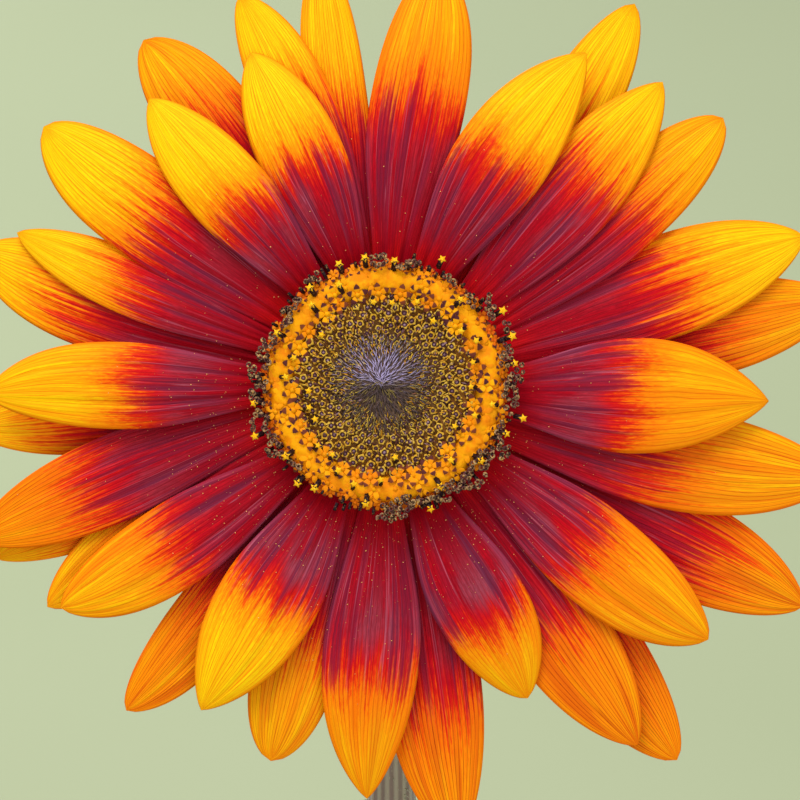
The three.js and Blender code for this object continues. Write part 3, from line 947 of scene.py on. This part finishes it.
def make_petals(face_material, back_material):
    """All the petals, each its own piece. Returns a tree of their upper faces, for what lies on them."""
    corners = []
    faces = []
    for number, ray in enumerate(RAYS, 1):
        chance = random.Random(number * 17)
        spot, crease = petal_spot(ray, chance)
        level = ray[4] / 3
        marks = {"turn": ray[5], "level": level, "gold": ray[7], "crease": crease, "seed": chance.random()}
        work = sheet(PETAL_COLUMNS, PETAL_ROWS, spot, marks)
        start = len(corners)
        work.verts.index_update()
        corners += [vertex.co.copy() for vertex in work.verts]
        faces += [[vertex.index + start for vertex in face.verts] for face in work.faces]
        stands_for = ("petals",) if number == 1 else ()
        piece = finished(work, f"petal_{number:02d}", face_material, HEAD, stands_for)
        add_thickness(piece, PETAL_THICKNESS, back_material)
    return BVHTree.FromPolygons(corners, faces)


# The disc


def disc_height(share):
    knob = 1.9 * max(0, 1 - 2 * share) ** 1.6
    return 4.9 + knob + 0.9 * share * math.sin(math.pi * share)


def make_dome(material, band_material):
    """The disc's own domed surface, and the swelling that the golden florets make of it."""
    profile = [(0, DISC_LOW, 1), (16.7, DISC_LOW, 1), (16.7, 1, 1), (19.4, 1, 1), (20.3, 3.4, 1)]
    for step in range(22, -1, -1):
        share = DOME_EDGE / DISC_RADIUS * step / 22
        profile.append((DISC_RADIUS * share, disc_height(share), share))
    work = turned(profile, 72, "share")
    finished(work, "disc_dome", material, HEAD, ("disc_florets",), turn_out=True)

    band = []
    for step in range(13):
        share = step / 12
        radius = lerp(15.3, 20.4, share)
        swell = 1.6 * math.sin(math.pi * share) ** 0.5 - 0.3
        band.append((radius, disc_height(radius / DISC_RADIUS) + swell))
    band += [(19.4, 3.6), (15.6, 4.2), band[0]]
    work = turned(band, 240)
    for vertex in work.verts:
        spot = vertex.co.normalized() * 4.2
        vertex.co.xy *= 1 + 0.028 * noise.noise(spot * 1.3 + Vector((3, 1, 2)))
        vertex.co.z += 0.3 * noise.noise(spot * 2.6)
    finished(work, "golden_band", band_material, HEAD, turn_out=True)


def disc_place(radius, turn, lean, own=0.0, size=1.0, lift=0.0, middle=Vector((0, 0, 0))):
    """A matrix that stands a shape on the disc, on its own turn and leaning outwards from a middle."""
    spot = about("Z", turn) @ Vector((radius, 0, 0)) + middle
    spot.z = disc_height(min(1, spot.length / DISC_RADIUS)) + lift
    stand = Matrix.Translation(spot) @ about("Z", turn) @ about("Y", lean)
    return stand @ about("Z", own) @ Matrix.Scale(size, 4)


def scale_shape(radius, length, hook):
    """A narrow pointed scale along Z whose tip bends towards -X."""
    work = cone(5, radius, 0.0, length, closed=False, cuts=2)
    tip = work.verts.layers.float["tip"]
    for vertex in work.verts:
        share = vertex[tip]
        vertex.co.xy *= 1 + 1.2 * share * (1 - share)
        vertex.co.x -= hook * share * share
    return pattern(with_marks(work, ["shade", "seed"]))


def bud_shape():
    """A closed floret: a rounded lip of five lobes round a hollow with a knob."""
    profile = [(0.6, -1.0), (0.82, 0.1), (0.76, 0.44), (0.54, 0.52), (0.36, 0.05), (0.28, 0.24), (0, 0.42)]
    on_rim = (0.4, 0.7, 1, 1, 0, 0, 0)
    on_knob = (0, 0, 0, 0, 0, 0.6, 1)
    work = turned(profile, 10)
    rim = work.verts.layers.float.new("rim")
    knob = work.verts.layers.float.new("knob")
    for vertex in work.verts:
        flat = Vector((vertex.co.xy.length, vertex.co.z))
        gaps = [abs(radius - flat.x) + abs(height - flat.y) for radius, height in profile]
        nearest = gaps.index(min(gaps))
        lobe = math.cos(5 * math.atan2(vertex.co.y, vertex.co.x))
        vertex[rim] = on_rim[nearest] * (0.78 + 0.22 * lobe)
        vertex[knob] = on_knob[nearest]
        vertex.co.z += 0.14 * lobe * on_rim[nearest]
        vertex.co.xy *= 1 + 0.12 * lobe * on_rim[nearest]
    return pattern(with_marks(work, ["young", "seed"]))


def corolla_shape(length, lift, curl):
    """An open floret: five pointed lobes spread from a short tube."""
    work = bmesh.new()
    bmesh.ops.create_grid(work, x_segments=2, y_segments=4, size=1)
    tip = work.verts.layers.float.new("tip")
    for vertex in work.verts:
        across, along = vertex.co.x, (vertex.co.y + 1) / 2
        half = 0.66 * (1 - along) ** 0.75 * (0.45 + 1.6 * along)
        vertex[tip] = along
        rise = lift * math.sin(math.pi * 0.6 * along) - curl * along**3 - 0.1 * across * across
        vertex.co = Vector((0.42 + length * along, half * across, rise))
    bmesh.ops.remove_doubles(work, verts=work.verts, dist=1e-4)
    bmesh.ops.reverse_faces(work, faces=work.faces)
    spin(work, list(work.verts) + list(work.edges) + list(work.faces), 288, 4, use_duplicate=True)
    low = Matrix.Translation((0, 0, -0.5))
    bmesh.ops.create_cone(work, cap_ends=True, segments=5, radius1=0.4, radius2=0.5, depth=1.2, matrix=low)
    return pattern(with_marks(work, ["ripe", "seed", "dark_from"]))


def tube_shape():
    """A tube of five joined anthers, ribbed, along Z."""
    work = cone(10, 0.5, 0.46, 2.5)
    for vertex in work.verts:
        turn = math.atan2(vertex.co.y, vertex.co.x)
        vertex.co.xy *= 1 + 0.2 * math.sin(5 * turn)
    return pattern(work)


def star_shape():
    """The five spread points at the end of a tube, heavy with pollen."""
    work = bmesh.new()
    bmesh.ops.create_circle(work, cap_ends=True, segments=10, radius=1)
    for vertex in work.verts:
        turn = math.atan2(vertex.co.y, vertex.co.x)
        vertex.co.xy *= 0.74 + 0.26 * math.sin(5 * turn)
        vertex.co.z -= 0.08 * math.sin(5 * turn)
    bmesh.ops.poke(work, faces=list(work.faces), offset=0.2)
    bmesh.ops.recalc_face_normals(work, faces=work.faces)
    bmesh.ops.solidify(work, geom=list(work.faces), thickness=0.2)
    bmesh.ops.recalc_face_normals(work, faces=work.faces)
    return pattern(work)


def stigma_shape():
    """One arm of a stigma, curled back on itself."""
    work = bmesh.new()
    upright = about("X", math.pi / 2)
    bmesh.ops.create_circle(work, cap_ends=True, segments=6, radius=0.2, matrix=upright)
    bmesh.ops.translate(work, vec=(0.33, 0, 0), verts=work.verts)
    spin(work, list(work.faces), 380, 11, 0.07)
    bmesh.ops.recalc_face_normals(work, faces=work.faces)
    return pattern(work)


def make_disc():
    """The disc's florets, from the bristles in the middle out to the spent florets at its edge."""
    chance = random.Random(5)

    def place_all(name, shape, places, marks, material):
        finished(repeated(shape, places, marks), name, material, HEAD)

    bristles = []
    for number in range(BRISTLES):
        turn = number * GOLDEN_ANGLE
        radius = BRISTLE_EDGE * ((number + 0.5) / BRISTLES) ** 0.58
        lean = -math.asin(min(0.72, (radius + 0.25) / 2.3)) + chance.uniform(-0.12, 0.12)
        place = disc_place(radius, turn, 0, lift=-0.3, middle=BRISTLE_CENTRE)
        place = place @ about("Z", chance.uniform(-0.3, 0.3)) @ about("Y", lean)
        place = place @ Matrix.Scale(chance.uniform(0.75, 1.1), 4)
        # Painted light: the bristles on the upper side, where the light falls, are marked paler, less so
        # towards the edge.
        upper = ease(math.sin(turn) + chance.uniform(-0.3, 0.3), -0.45, 0.7)
        bristles.append((place, upper * (1 - 0.6 * ease(radius, 4.5, 9)), chance.random()))
    marks = ["shade", "seed"]
    place_all("disc_bristles", scale_shape(0.17, 2.4, 0.35), bristles, marks, bristle_finish())

    buds = []
    scales = []
    for number in BUD_NUMBERS:
        turn = number * GOLDEN_ANGLE
        radius = SPIRAL_RADIUS * ((number + 0.5) / SPIRAL_NUMBERS) ** 0.8
        ragged = radius + 0.5 * noise.noise(Vector((math.cos(turn), math.sin(turn), 0)) * 2)
        if ragged > BUD_EDGE + 0.5:
            break
        grown = ease(radius, 5.0, 12.5)
        size = lerp(0.5, 0.94, grown) * chance.uniform(0.86, 1.06)
        lean = 0.08 * grown + chance.uniform(-0.34, 0.34)
        own_turn = chance.random()
        lift = 0.1 + 0.4 * grown + chance.uniform(-0.15, 0.15)
        buds.append((disc_place(radius, turn, lean, own_turn, size, lift), 1 - grown, chance.random()))
        for _ in range(4):
            aside = turn + chance.uniform(-0.08, 0.08) * 12 / radius
            out = radius + chance.uniform(-0.9, 0.9)
            lean = chance.uniform(-1.0, -0.1)
            size = chance.uniform(0.7, 1.15) * lerp(0.75, 1, grown)
            place = disc_place(out, aside, 0, size=size, lift=0.25 * grown)
            place = place @ about("Z", chance.uniform(-0.6, 0.6)) @ about("Y", lean)
            scales.append((place, 0.5, chance.random()))
    place_all("closed_florets", bud_shape(), buds, ["young", "seed"], bud_finish())
    place_all("disc_scales", scale_shape(0.2, 1.5, 0.35), scales, marks, scale_finish())

    marks = ["ripe", "seed", "dark_from"]
    gold = corolla_finish()
    for name, (lobe, rows) in FLORETS.items():
        corollas = []
        for count, middle, lift, ripe, dark_from, lean, size in rows:
            for number in range(count):
                turn = 2 * math.pi * (number + chance.uniform(-0.3, 0.3)) / count
                radius = middle + chance.uniform(-0.4, 0.4)
                own_ripe = min(1, max(0, ripe + chance.uniform(-0.3, 0.3)))
                own_dark = dark_from + chance.uniform(-0.06, 0.12)
                own_size = size * chance.uniform(0.9, 1.08)
                own_lift = lift + chance.uniform(-0.06, 0.1)
                place = disc_place(radius, turn, lean, chance.uniform(0, 6), own_size, own_lift)
                corollas.append((place, own_ripe, chance.random(), own_dark))
        place_all(name, corolla_shape(*lobe), corollas, marks, gold)

    tubes = []
    stars = []
    for degrees, radius in EDGE_STARS:
        turn = math.radians(degrees)
        tubes.append((disc_place(radius - 1.5, turn, 0.8, size=0.85, lift=1.1),))
        stars.append((disc_place(radius, turn, 0.12, chance.random(), chance.uniform(0.78, 0.92), 2.75),))
    for degrees, radius in BAND_STARS:
        turn = math.radians(degrees + chance.uniform(-1, 1))
        tubes.append((disc_place(radius + 0.9, turn, -0.6, size=0.66, lift=1.4),))
        stars.append((disc_place(radius, turn, -0.1, chance.random(), chance.uniform(0.66, 0.78), 2.85),))
    for _ in range(EDGE_TUBES):
        turn = chance.uniform(0, 2 * math.pi)
        lean = chance.uniform(0.6, 1.2)
        size = chance.uniform(0.42, 0.62)
        tubes.append((disc_place(chance.uniform(19.9, 21.6), turn, lean, size=size, lift=0.8),))
    place_all("anther_tubes", tube_shape(), tubes, [], tube_finish())
    place_all("pollen_stars", star_shape(), stars, [], star_finish())

    stigmas = []
    for degrees, radius in STIGMAS:
        turn = math.radians(degrees)
        for side in (-1.5, -0.7, 0, 0.7, 1.5):
            out = radius + chance.uniform(-0.8, 0.5)
            lift = 1.1 + chance.uniform(0, 1.2)
            lean = chance.uniform(-0.1, 0.5)
            place = disc_place(out, turn + 0.033 * side, lean, 0, chance.uniform(0.8, 1.05), lift)
            tilt = about("X", chance.uniform(-0.5, 0.5))
            stigmas.append((place @ tilt @ about("Z", chance.uniform(0, 6)),))
    place_all("stigmas", stigma_shape(), stigmas, [], stigma_finish())


def make_pollen(tree, material):
    """Loose grains on the petals round the disc, more of them below it."""
    work = bmesh.new()
    bmesh.ops.create_icosphere(work, subdivisions=1, radius=0.1)
    grain = pattern(work)
    chance = random.Random(11)
    places = []
    while len(places) < POLLEN_GRAINS:
        turn = chance.uniform(0, 360)
        above = math.sin(math.radians(turn)) + 0.25 * math.cos(math.radians(turn))
        if chance.random() < 0.8 * ease(above, -0.5, 0.1):
            continue
        point = polar(23.5 + abs(chance.gauss(0, 12)), turn, 60)
        hit, *_ = tree.ray_cast(point, Vector((0, 0, -1)), 120)
        if hit is not None:
            size = 0.32 + 0.75 * chance.random() ** 2.2
            places.append((Matrix.Translation(hit + Vector((0, 0, 0.05))) @ Matrix.Scale(size, 4),))
    finished(repeated(grain, places), "loose_pollen", material, HEAD)


# The back of the head


def make_receptacle(ring_material, cup_material, bract_material, back_material, hair_material):
    """The green cup, the ring that the petals grow from, and the bracts with their hairs."""
    profile = [
        (0, -14.9), (4.6, -14.9), (5.4, -14.0), (6.6, -12.7), (9.5, -11.4), (13, -10.2), (16.5, -8.7),
        (19, -7.4), (20.5, -5.6), (20.3, -4.6), (0, -4.6),
    ]
    work = turned(profile, 60)
    for vertex in work.verts:
        turn = math.atan2(vertex.co.y, vertex.co.x)
        vertex.co.xy *= 1 + 0.012 * math.cos(24 * turn) * ease(vertex.co.xy.length, 5, 16)
    finished(work, "receptacle_cup", cup_material, HEAD, ("receptacle",), turn_out=True)

    ring = turned([(17, -4.4), (20.4, -4.4), (20.4, -0.2), (17, -0.2), (17, -4.4)], 72)
    finished(ring, "petal_ring", ring_material, HEAD, turn_out=True)

    chance = random.Random(3)
    hairs = []
    for row, (reach, root_height, fall) in enumerate(BRACT_ROWS):
        gathered = bmesh.new()
        for number in range(BRACTS_IN_A_ROW):
            turn = about("Z", 2 * math.pi * (number + row / 2) / BRACTS_IN_A_ROW)
            long = reach + chance.uniform(-1.2, 1.2)
            sway = chance.uniform(-0.7, 0.7)

            def spot(across, along):
                half = 4.75 * max(0, 1 - along**1.7) * (1 + 0.12 * math.sin(math.pi * along))
                hollow = 0.7 * across * across - 0.25 * math.exp(-((across / 0.12) ** 2))
                height = root_height - fall * along * along + hollow * (1 - along)
                return Vector((lerp(17.5, long, along), half * across + sway * along * along, height))

            work = sheet(10, 18, spot)
            bmesh.ops.transform(work, matrix=turn, verts=work.verts)
            part = pattern(work)
            gathered.from_mesh(part)
            for _ in range(BRACT_HAIRS):
                along = chance.uniform(0.02, 0.97)
                across = chance.choice((-1, 1)) if chance.random() < 0.6 else chance.uniform(-0.9, 0.9)
                outward = Vector((0.5, 0.8 * across, -1.0)).normalized()
                point = spot(across, along) - Vector((0, 0, 0.6))
                direction = turn.to_3x3() @ outward
                hairs.append((along_normal(turn @ point, direction, chance.uniform(0.6, 1.1)),))
        piece = finished(gathered, f"bracts_{row + 1}", bract_material, HEAD)
        add_thickness(piece, 0.7, back_material)
    finished(repeated(hair_shape(1.5), hairs), "bract_hairs", hair_material, HEAD)


def hair_shape(length):
    return pattern(cone(3, 0.08, 0.0, length, sunk=0.1))


# The stem


def stem_places(count):
    """Places at even steps along the stem's line, a curve through its points."""
    neck = HEAD_CENTRE - FACING * 15.3
    knots = [Vector(point) for point in STEM_LINE] + [neck - FACING * 5, neck]
    knots = [knots[0] * 2 - knots[1]] + knots + [knots[-1] * 2 - knots[-2]]
    fine = []
    for a, b, c, d in zip(knots, knots[1:], knots[2:], knots[3:]):
        first, second, third = (max(1e-4, (q - p).length) ** 0.5 for p, q in ((a, b), (b, c), (c, d)))
        leave = ((b - a) / first - (c - a) / (first + second) + (c - b) / second) * second
        arrive = ((c - b) / second - (d - b) / (second + third) + (d - c) / third) * second
        for step in range(40):
            t = step / 40
            square = (b * -3 + c * 3 - leave * 2 - arrive) * t**2
            cube = (b * 2 - c * 2 + leave + arrive) * t**3
            fine.append(b + leave * t + square + cube)
    fine.append(knots[-2])
    lengths = [0.0]
    for p, q in zip(fine, fine[1:]):
        lengths.append(lengths[-1] + (q - p).length)
    places = []
    spot = 0
    for step in range(count + 1):
        wanted = lengths[-1] * step / count
        while spot < len(fine) - 2 and lengths[spot + 1] < wanted:
            spot += 1
        share = (wanted - lengths[spot]) / (lengths[spot + 1] - lengths[spot])
        places.append(fine[spot].lerp(fine[spot + 1], min(1, share)))
    return places


def stem_at(height, places):
    """The point of the stem's line at a height."""
    for low, high in zip(places, places[1:]):
        if low.z <= height <= high.z:
            return low.lerp(high, (height - low.z) / (high.z - low.z))
    return places[-1]


def make_stem(material, hair_material):
    """The stem, a little thicker where the leaves leave it, and its hairs. Returns the places along it."""
    places = stem_places(STEM_RINGS)
    radii = []
    for number in range(STEM_RINGS + 1):
        share = number / STEM_RINGS
        radius = lerp(STEM_FOOT, STEM_NECK, min(1, share * 1.25))
        knees = sum(0.5 * math.exp(-(((places[number].z - leaf[0]) / 4.5) ** 2)) for leaf in LEAVES)
        radii.append(radius + knees * 0.6 + 0.9 * ease(share, 0.975, 1.0))
    work = rod(places, radii, 40, 0.02, 10)
    finished(work, "stem_skin", material, None, ("stem",), turn_out=True)
    chance = random.Random(21)
    hairs = []
    for _ in range(STEM_HAIRS):
        number = chance.randrange(36, 139)
        share = chance.random()
        place = places[number].lerp(places[number + 1], share)
        ahead = (places[number + 1] - places[number]).normalized()
        aside = ahead.orthogonal().normalized()
        outward = Matrix.Rotation(chance.uniform(0, 2 * math.pi), 3, ahead) @ aside
        direction = (outward + ahead * chance.uniform(-0.45, 0.2)).normalized()
        foot = place + outward * (radii[number] * 0.985)
        hairs.append((along_normal(foot, direction, chance.uniform(0.6, 1.2)),))
    finished(repeated(hair_shape(1.8), hairs), "stem_hairs", hair_material)
    return places


# Leaves


def leaf_width(along):
    return math.sin(math.pi * (0.04 + 0.96 * along) ** 0.6) ** 0.85


def upward(ahead):
    """The direction square to a leaf's line, in its upright plane."""
    return Vector((-ahead.z, 0, ahead.x))


def make_leaf(number, sizes, places, materials):
    """A leaf out from the stem: a ribbed stalk, and a toothed heart-shaped blade, quilted between veins."""
    height, direction, stalk, length, width, rise, fall = sizes
    chance = random.Random(number * 7)
    out = Matrix.Translation(stem_at(height, places)) @ about("Z", math.radians(direction))
    stalk_line = (Vector((0, 0, 0)), Vector((stalk * 0.5, 0, rise * 0.75)), Vector((stalk, 0, rise)))
    blade_line = (
        Vector((stalk, 0, rise)),
        Vector((stalk + length * 0.45, 0, rise + length * 0.16)),
        Vector((stalk + length * 0.9, 0, rise - fall)),
    )
    teeth = max(9, round(length / 7.5))
    pairs = max(5, round(length / 14))
    wave = chance.uniform(0, 2 * math.pi)

    def slant(across, along):
        """Counts the pairs of side veins, which run forward from the midrib."""
        return pairs * (along - 0.34 * abs(across) ** 1.3 * (1.05 - along)) + 0.5

    def spot(across, along):
        place, ahead = bend(blade_line, along)
        above = upward(ahead)
        side = abs(across)
        tooth = 0.075 * (1 - (teeth * along) % 1) * ease(along, 0.03, 0.12) * ease(side, 0.72, 1.0)
        half = width / 2 * max(0, leaf_width(along)) * (0.97 + tooth)
        fold = 0.3 * half * side * (1 - side)
        between = 0.5 - 0.5 * math.cos(2 * math.pi * slant(across, along))
        inner = ease(side, 0.03, 0.25) * (1 - ease(side, 0.75, 1))
        quilt = (0.9 * (1 - between) - 0.35) * inner * width / 90
        midrib = 0.7 * math.exp(-((side / 0.035) ** 2)) * (1 - along)
        ruffle = 0.03 * width * side**3 * math.sin(15 * along + wave + across)
        lobe = length * 0.17 * (1 - along) ** 3 * side
        lift = fold + quilt + ruffle - midrib
        return place + above * lift - ahead * lobe + Vector((0, half * across, 0))

    work = sheet(30, teeth * 7, spot, {"slant": slant})
    piece = finished(work, f"leaf_{number}_blade", materials["face"], out, (f"leaf_{number}",))
    add_thickness(piece, 0.55, materials["back"])

    steps = 26
    line = [bend(stalk_line, step / steps)[0] for step in range(2, steps + 1)]
    radii = [2.1 * (1.35 - 0.35 * min(1, 3 * step / steps)) for step in range(2, steps + 1)]
    for step in range(1, 12):
        share = step / 12 * 0.93
        place, ahead = bend(blade_line, share)
        line.append(place - upward(ahead) * (1.3 * (1 - share) ** 0.8))
        radii.append(lerp(2.0, 0.35, share**0.7))
    work = rod(line, radii, 14, 0.04, 4)
    finished(work, f"leaf_{number}_stalk", materials["stalk"], out, turn_out=True)

    hairs = []
    for _ in range(STALK_HAIRS):
        step = chance.randrange(1, len(line) - 1)
        ahead = (line[step + 1] - line[step]).normalized()
        turn = chance.uniform(0, 2 * math.pi) if step < steps else chance.uniform(math.pi, 2 * math.pi)
        aside = Vector((0, 1, 0))
        over = ahead.cross(aside)
        outward = aside * math.cos(turn) + over * -math.sin(turn)
        place = line[step].lerp(line[step + 1], chance.random()) + outward * (radii[step] * 0.97)
        direction = (outward + ahead * 0.25).normalized()
        hairs.append((along_normal(place, direction, chance.uniform(0.5, 1.0)),))
    for _ in range(BLADE_HAIRS):
        across = chance.choice((-1, 1)) * chance.uniform(0.06, 0.98) ** 0.6
        along = chance.uniform(0.04, 0.95)
        point = spot(across, along)
        _, ahead = bend(blade_line, along)
        above = upward(ahead)
        under = chance.random() < 0.5
        direction = (above * (-1 if under else 1) + ahead * 0.5).normalized()
        base = point - above * (0.5 if under else 0.0)
        hairs.append((along_normal(base, direction, chance.uniform(0.3, 0.6)),))
    finished(repeated(hair_shape(1.5), hairs), f"leaf_{number}_hairs", materials["hair"], out)


# The pot and its soil


def make_pot(material):
    """The pot, with four drain holes cut through its floor and its edges softened."""
    profile = [
        (0, 0), (45, 0), (47, 2), (60, 95), (64.5, 98), (69, 125), (67, 128), (61, 128), (58, 125),
        (42, 12), (39, 9), (0, 9),
    ]
    work = turned(profile, 120)
    pot = finished(work, "clay_pot", material, None, ("pot",), turn_out=True)
    holes = bmesh.new()
    sizes = {"radius1": 4.5, "radius2": 4.5, "depth": 30}
    for degrees in (45, 135, 225, 315):
        place = Matrix.Translation(polar(26, degrees))
        bmesh.ops.create_cone(holes, cap_ends=True, segments=32, matrix=place, **sizes)
    bmesh.ops.scale(holes, vec=(METRES,) * 3, verts=holes.verts)
    cutter = shown("drain_holes", pattern(holes))
    cut = pot.modifiers.new("drain holes", "BOOLEAN")
    cut.object = cutter
    cut.solver = "EXACT"
    shape = bpy.data.meshes.new_from_object(pot.evaluated_get(bpy.context.evaluated_depsgraph_get()))
    pot.modifiers.clear()
    pot.data = shape
    bpy.data.objects.remove(cutter)
    edge = pot.modifiers.new("soft edges", "BEVEL")
    edge.width = 1.1 * METRES
    edge.segments = 3
    edge.limit_method = "ANGLE"
    edge.angle_limit = math.radians(20)
    edge.harden_normals = True


def soil_height(x, y):
    share = min(1, math.hypot(x, y) / SOIL_WALL)
    wave = math.sin(0.5 * x) + math.cos(0.43 * y + x)
    rough = noise.fractal(Vector((x, y, 0)) * 0.16, 1.0, 2.0, 5)
    dome = SOIL_HEIGHT + SOIL_RISE * (1 - share**2)
    return dome + 0.5 * (1 - share**4) * wave + 1.1 * rough * (1 - share**8)


def make_soil(bed_material, crumb_material):
    """The soil, with its hole for the foot of the stem, and the crumbs on it."""
    profile = [(0, 77.4), (6.1, 77.4)]
    for step in range(47):
        share = step / 46
        profile.append((lerp(6.1, SOIL_EDGE, share), SOIL_HEIGHT + SOIL_RISE * (1 - share)))
    profile += [(41.7, 12.3), (38.7, 9.3), (0, 9.3)]
    work = turned(profile, 140)
    for vertex in work.verts:
        if vertex.co.z > SOIL_HEIGHT - 1:
            vertex.co.z = soil_height(vertex.co.x, vertex.co.y)
    finished(work, "soil_bed", bed_material, None, ("soil",), turn_out=True)
    chance = random.Random(9)
    lump = bmesh.new()
    bmesh.ops.create_icosphere(lump, subdivisions=2, radius=1)
    for vertex in lump.verts:
        vertex.co *= 1 + 0.35 * noise.noise(vertex.co * 1.7)
    places = []
    while len(places) < SOIL_CRUMBS:
        x, y = chance.uniform(-55, 55), chance.uniform(-55, 55)
        if not 8 < math.hypot(x, y) < 54:
            continue
        size = 0.35 + 1.5 * chance.random() ** 3.2
        turn = about("Z", chance.uniform(0, 6.28)) @ about("X", chance.uniform(0, 6.28))
        flat = Matrix.Diagonal((size, size * chance.uniform(0.6, 1), size * chance.uniform(0.45, 0.8), 1))
        place = Matrix.Translation((x, y, soil_height(x, y) + size * 0.2))
        places.append((place @ turn @ flat,))
    finished(repeated(pattern(lump), places), "soil_crumbs", crumb_material)


# The studio


def make_studio():
    """The pale floor, the soft lights, and the camera before the flower's face."""
    scene = bpy.context.scene
    scene.view_settings.view_transform = "Standard"
    finish = Finish("studio_floor")
    colour = finish.mix((158, 166, 130), (168, 175, 142), finish.grain(3, 2, 0.5))
    work = bmesh.new()
    bmesh.ops.create_grid(work, x_segments=2, y_segments=2, size=14)
    floor = shown("studio_floor", pattern(work, "studio_floor"))
    floor.data.materials.append(finish.surface(colour, 0.9))

    world = bpy.data.worlds.new("studio")
    world.use_nodes = True
    sky = world.node_tree.nodes["Background"]
    sky.inputs["Color"].default_value = (0.97, 1.0, 0.98, 1)
    sky.inputs["Strength"].default_value = 0.79
    scene.world = world

    def soft_light(name, place, aim, size, energy, colour):
        data = bpy.data.lights.new(name, "AREA")
        data.shape = "DISK"
        data.size = size
        data.energy = energy
        data.color = colour
        light = shown(name, data)
        light.location = place * METRES
        light.rotation_euler = (aim - place).to_track_quat("-Z", "Y").to_euler()

    above = HEAD_CENTRE + UP * 950 + FACING * 700 - RIGHT * 260
    soft_light("key", above, HEAD_CENTRE, 0.8, 10.8, (1, 0.98, 0.95))
    below = HEAD_CENTRE - UP * 480 + FACING * 900 + RIGHT * 300
    soft_light("low", below, HEAD_CENTRE, 0.8, 2.3, (1, 0.98, 0.94))
    behind = Vector((-900, 1300, 900))
    soft_light("fill", behind, Vector((0, 0, 250)), 1.4, 16, (0.95, 0.98, 1))

    data = bpy.data.cameras.new("camera")
    data.sensor_width = SENSOR_WIDTH
    data.lens = SENSOR_WIDTH * CAMERA_DISTANCE / VIEW_WIDTH
    data.clip_start = 0.01
    data.clip_end = 60
    scene.camera = shown("camera", data)
    spot = HEAD_CENTRE + FACING * CAMERA_DISTANCE + RIGHT * 2.55 - UP * 2.55
    scene.camera.matrix_world = Matrix.Translation(spot * METRES) @ HEAD.to_3x3().to_4x4()


# The whole plant

hair_material = hair_skin()
petal_tree = make_petals(petal_face(), petal_underside())
make_dome(dome_finish(), band_finish())
make_disc()
make_pollen(petal_tree, pollen_finish())
make_receptacle(
    petal_root(),
    green_skin("receptacle_skin", (74, 102, 40), (112, 142, 62), (150, 168, 96)),
    green_skin("bract_face", (82, 116, 48), (120, 152, 70), (160, 178, 104)),
    green_skin("bract_back", (70, 102, 42), (104, 138, 60), (156, 172, 104)),
    hair_material,
)
stem_line = make_stem(stem_skin(), hair_material)
leaf_materials = {
    "face": leaf_face("leaf_face", (48, 84, 28), (86, 124, 44), (150, 172, 92)),
    "back": leaf_face("leaf_back", (94, 122, 66), (120, 146, 86), (168, 184, 120)),
    "stalk": green_skin("leaf_stalk", (100, 124, 58), (134, 154, 82), (158, 130, 92)),
    "hair": hair_material,
}
for leaf_number, leaf_sizes in enumerate(LEAVES, 1):
    make_leaf(leaf_number, leaf_sizes, stem_line, leaf_materials)
make_pot(clay_finish())
make_soil(
    soil_finish("soil_bed", (34, 24, 18), (72, 54, 38)),
    soil_finish("soil_crumbs", (42, 30, 22), (92, 68, 46)),
)
make_studio()
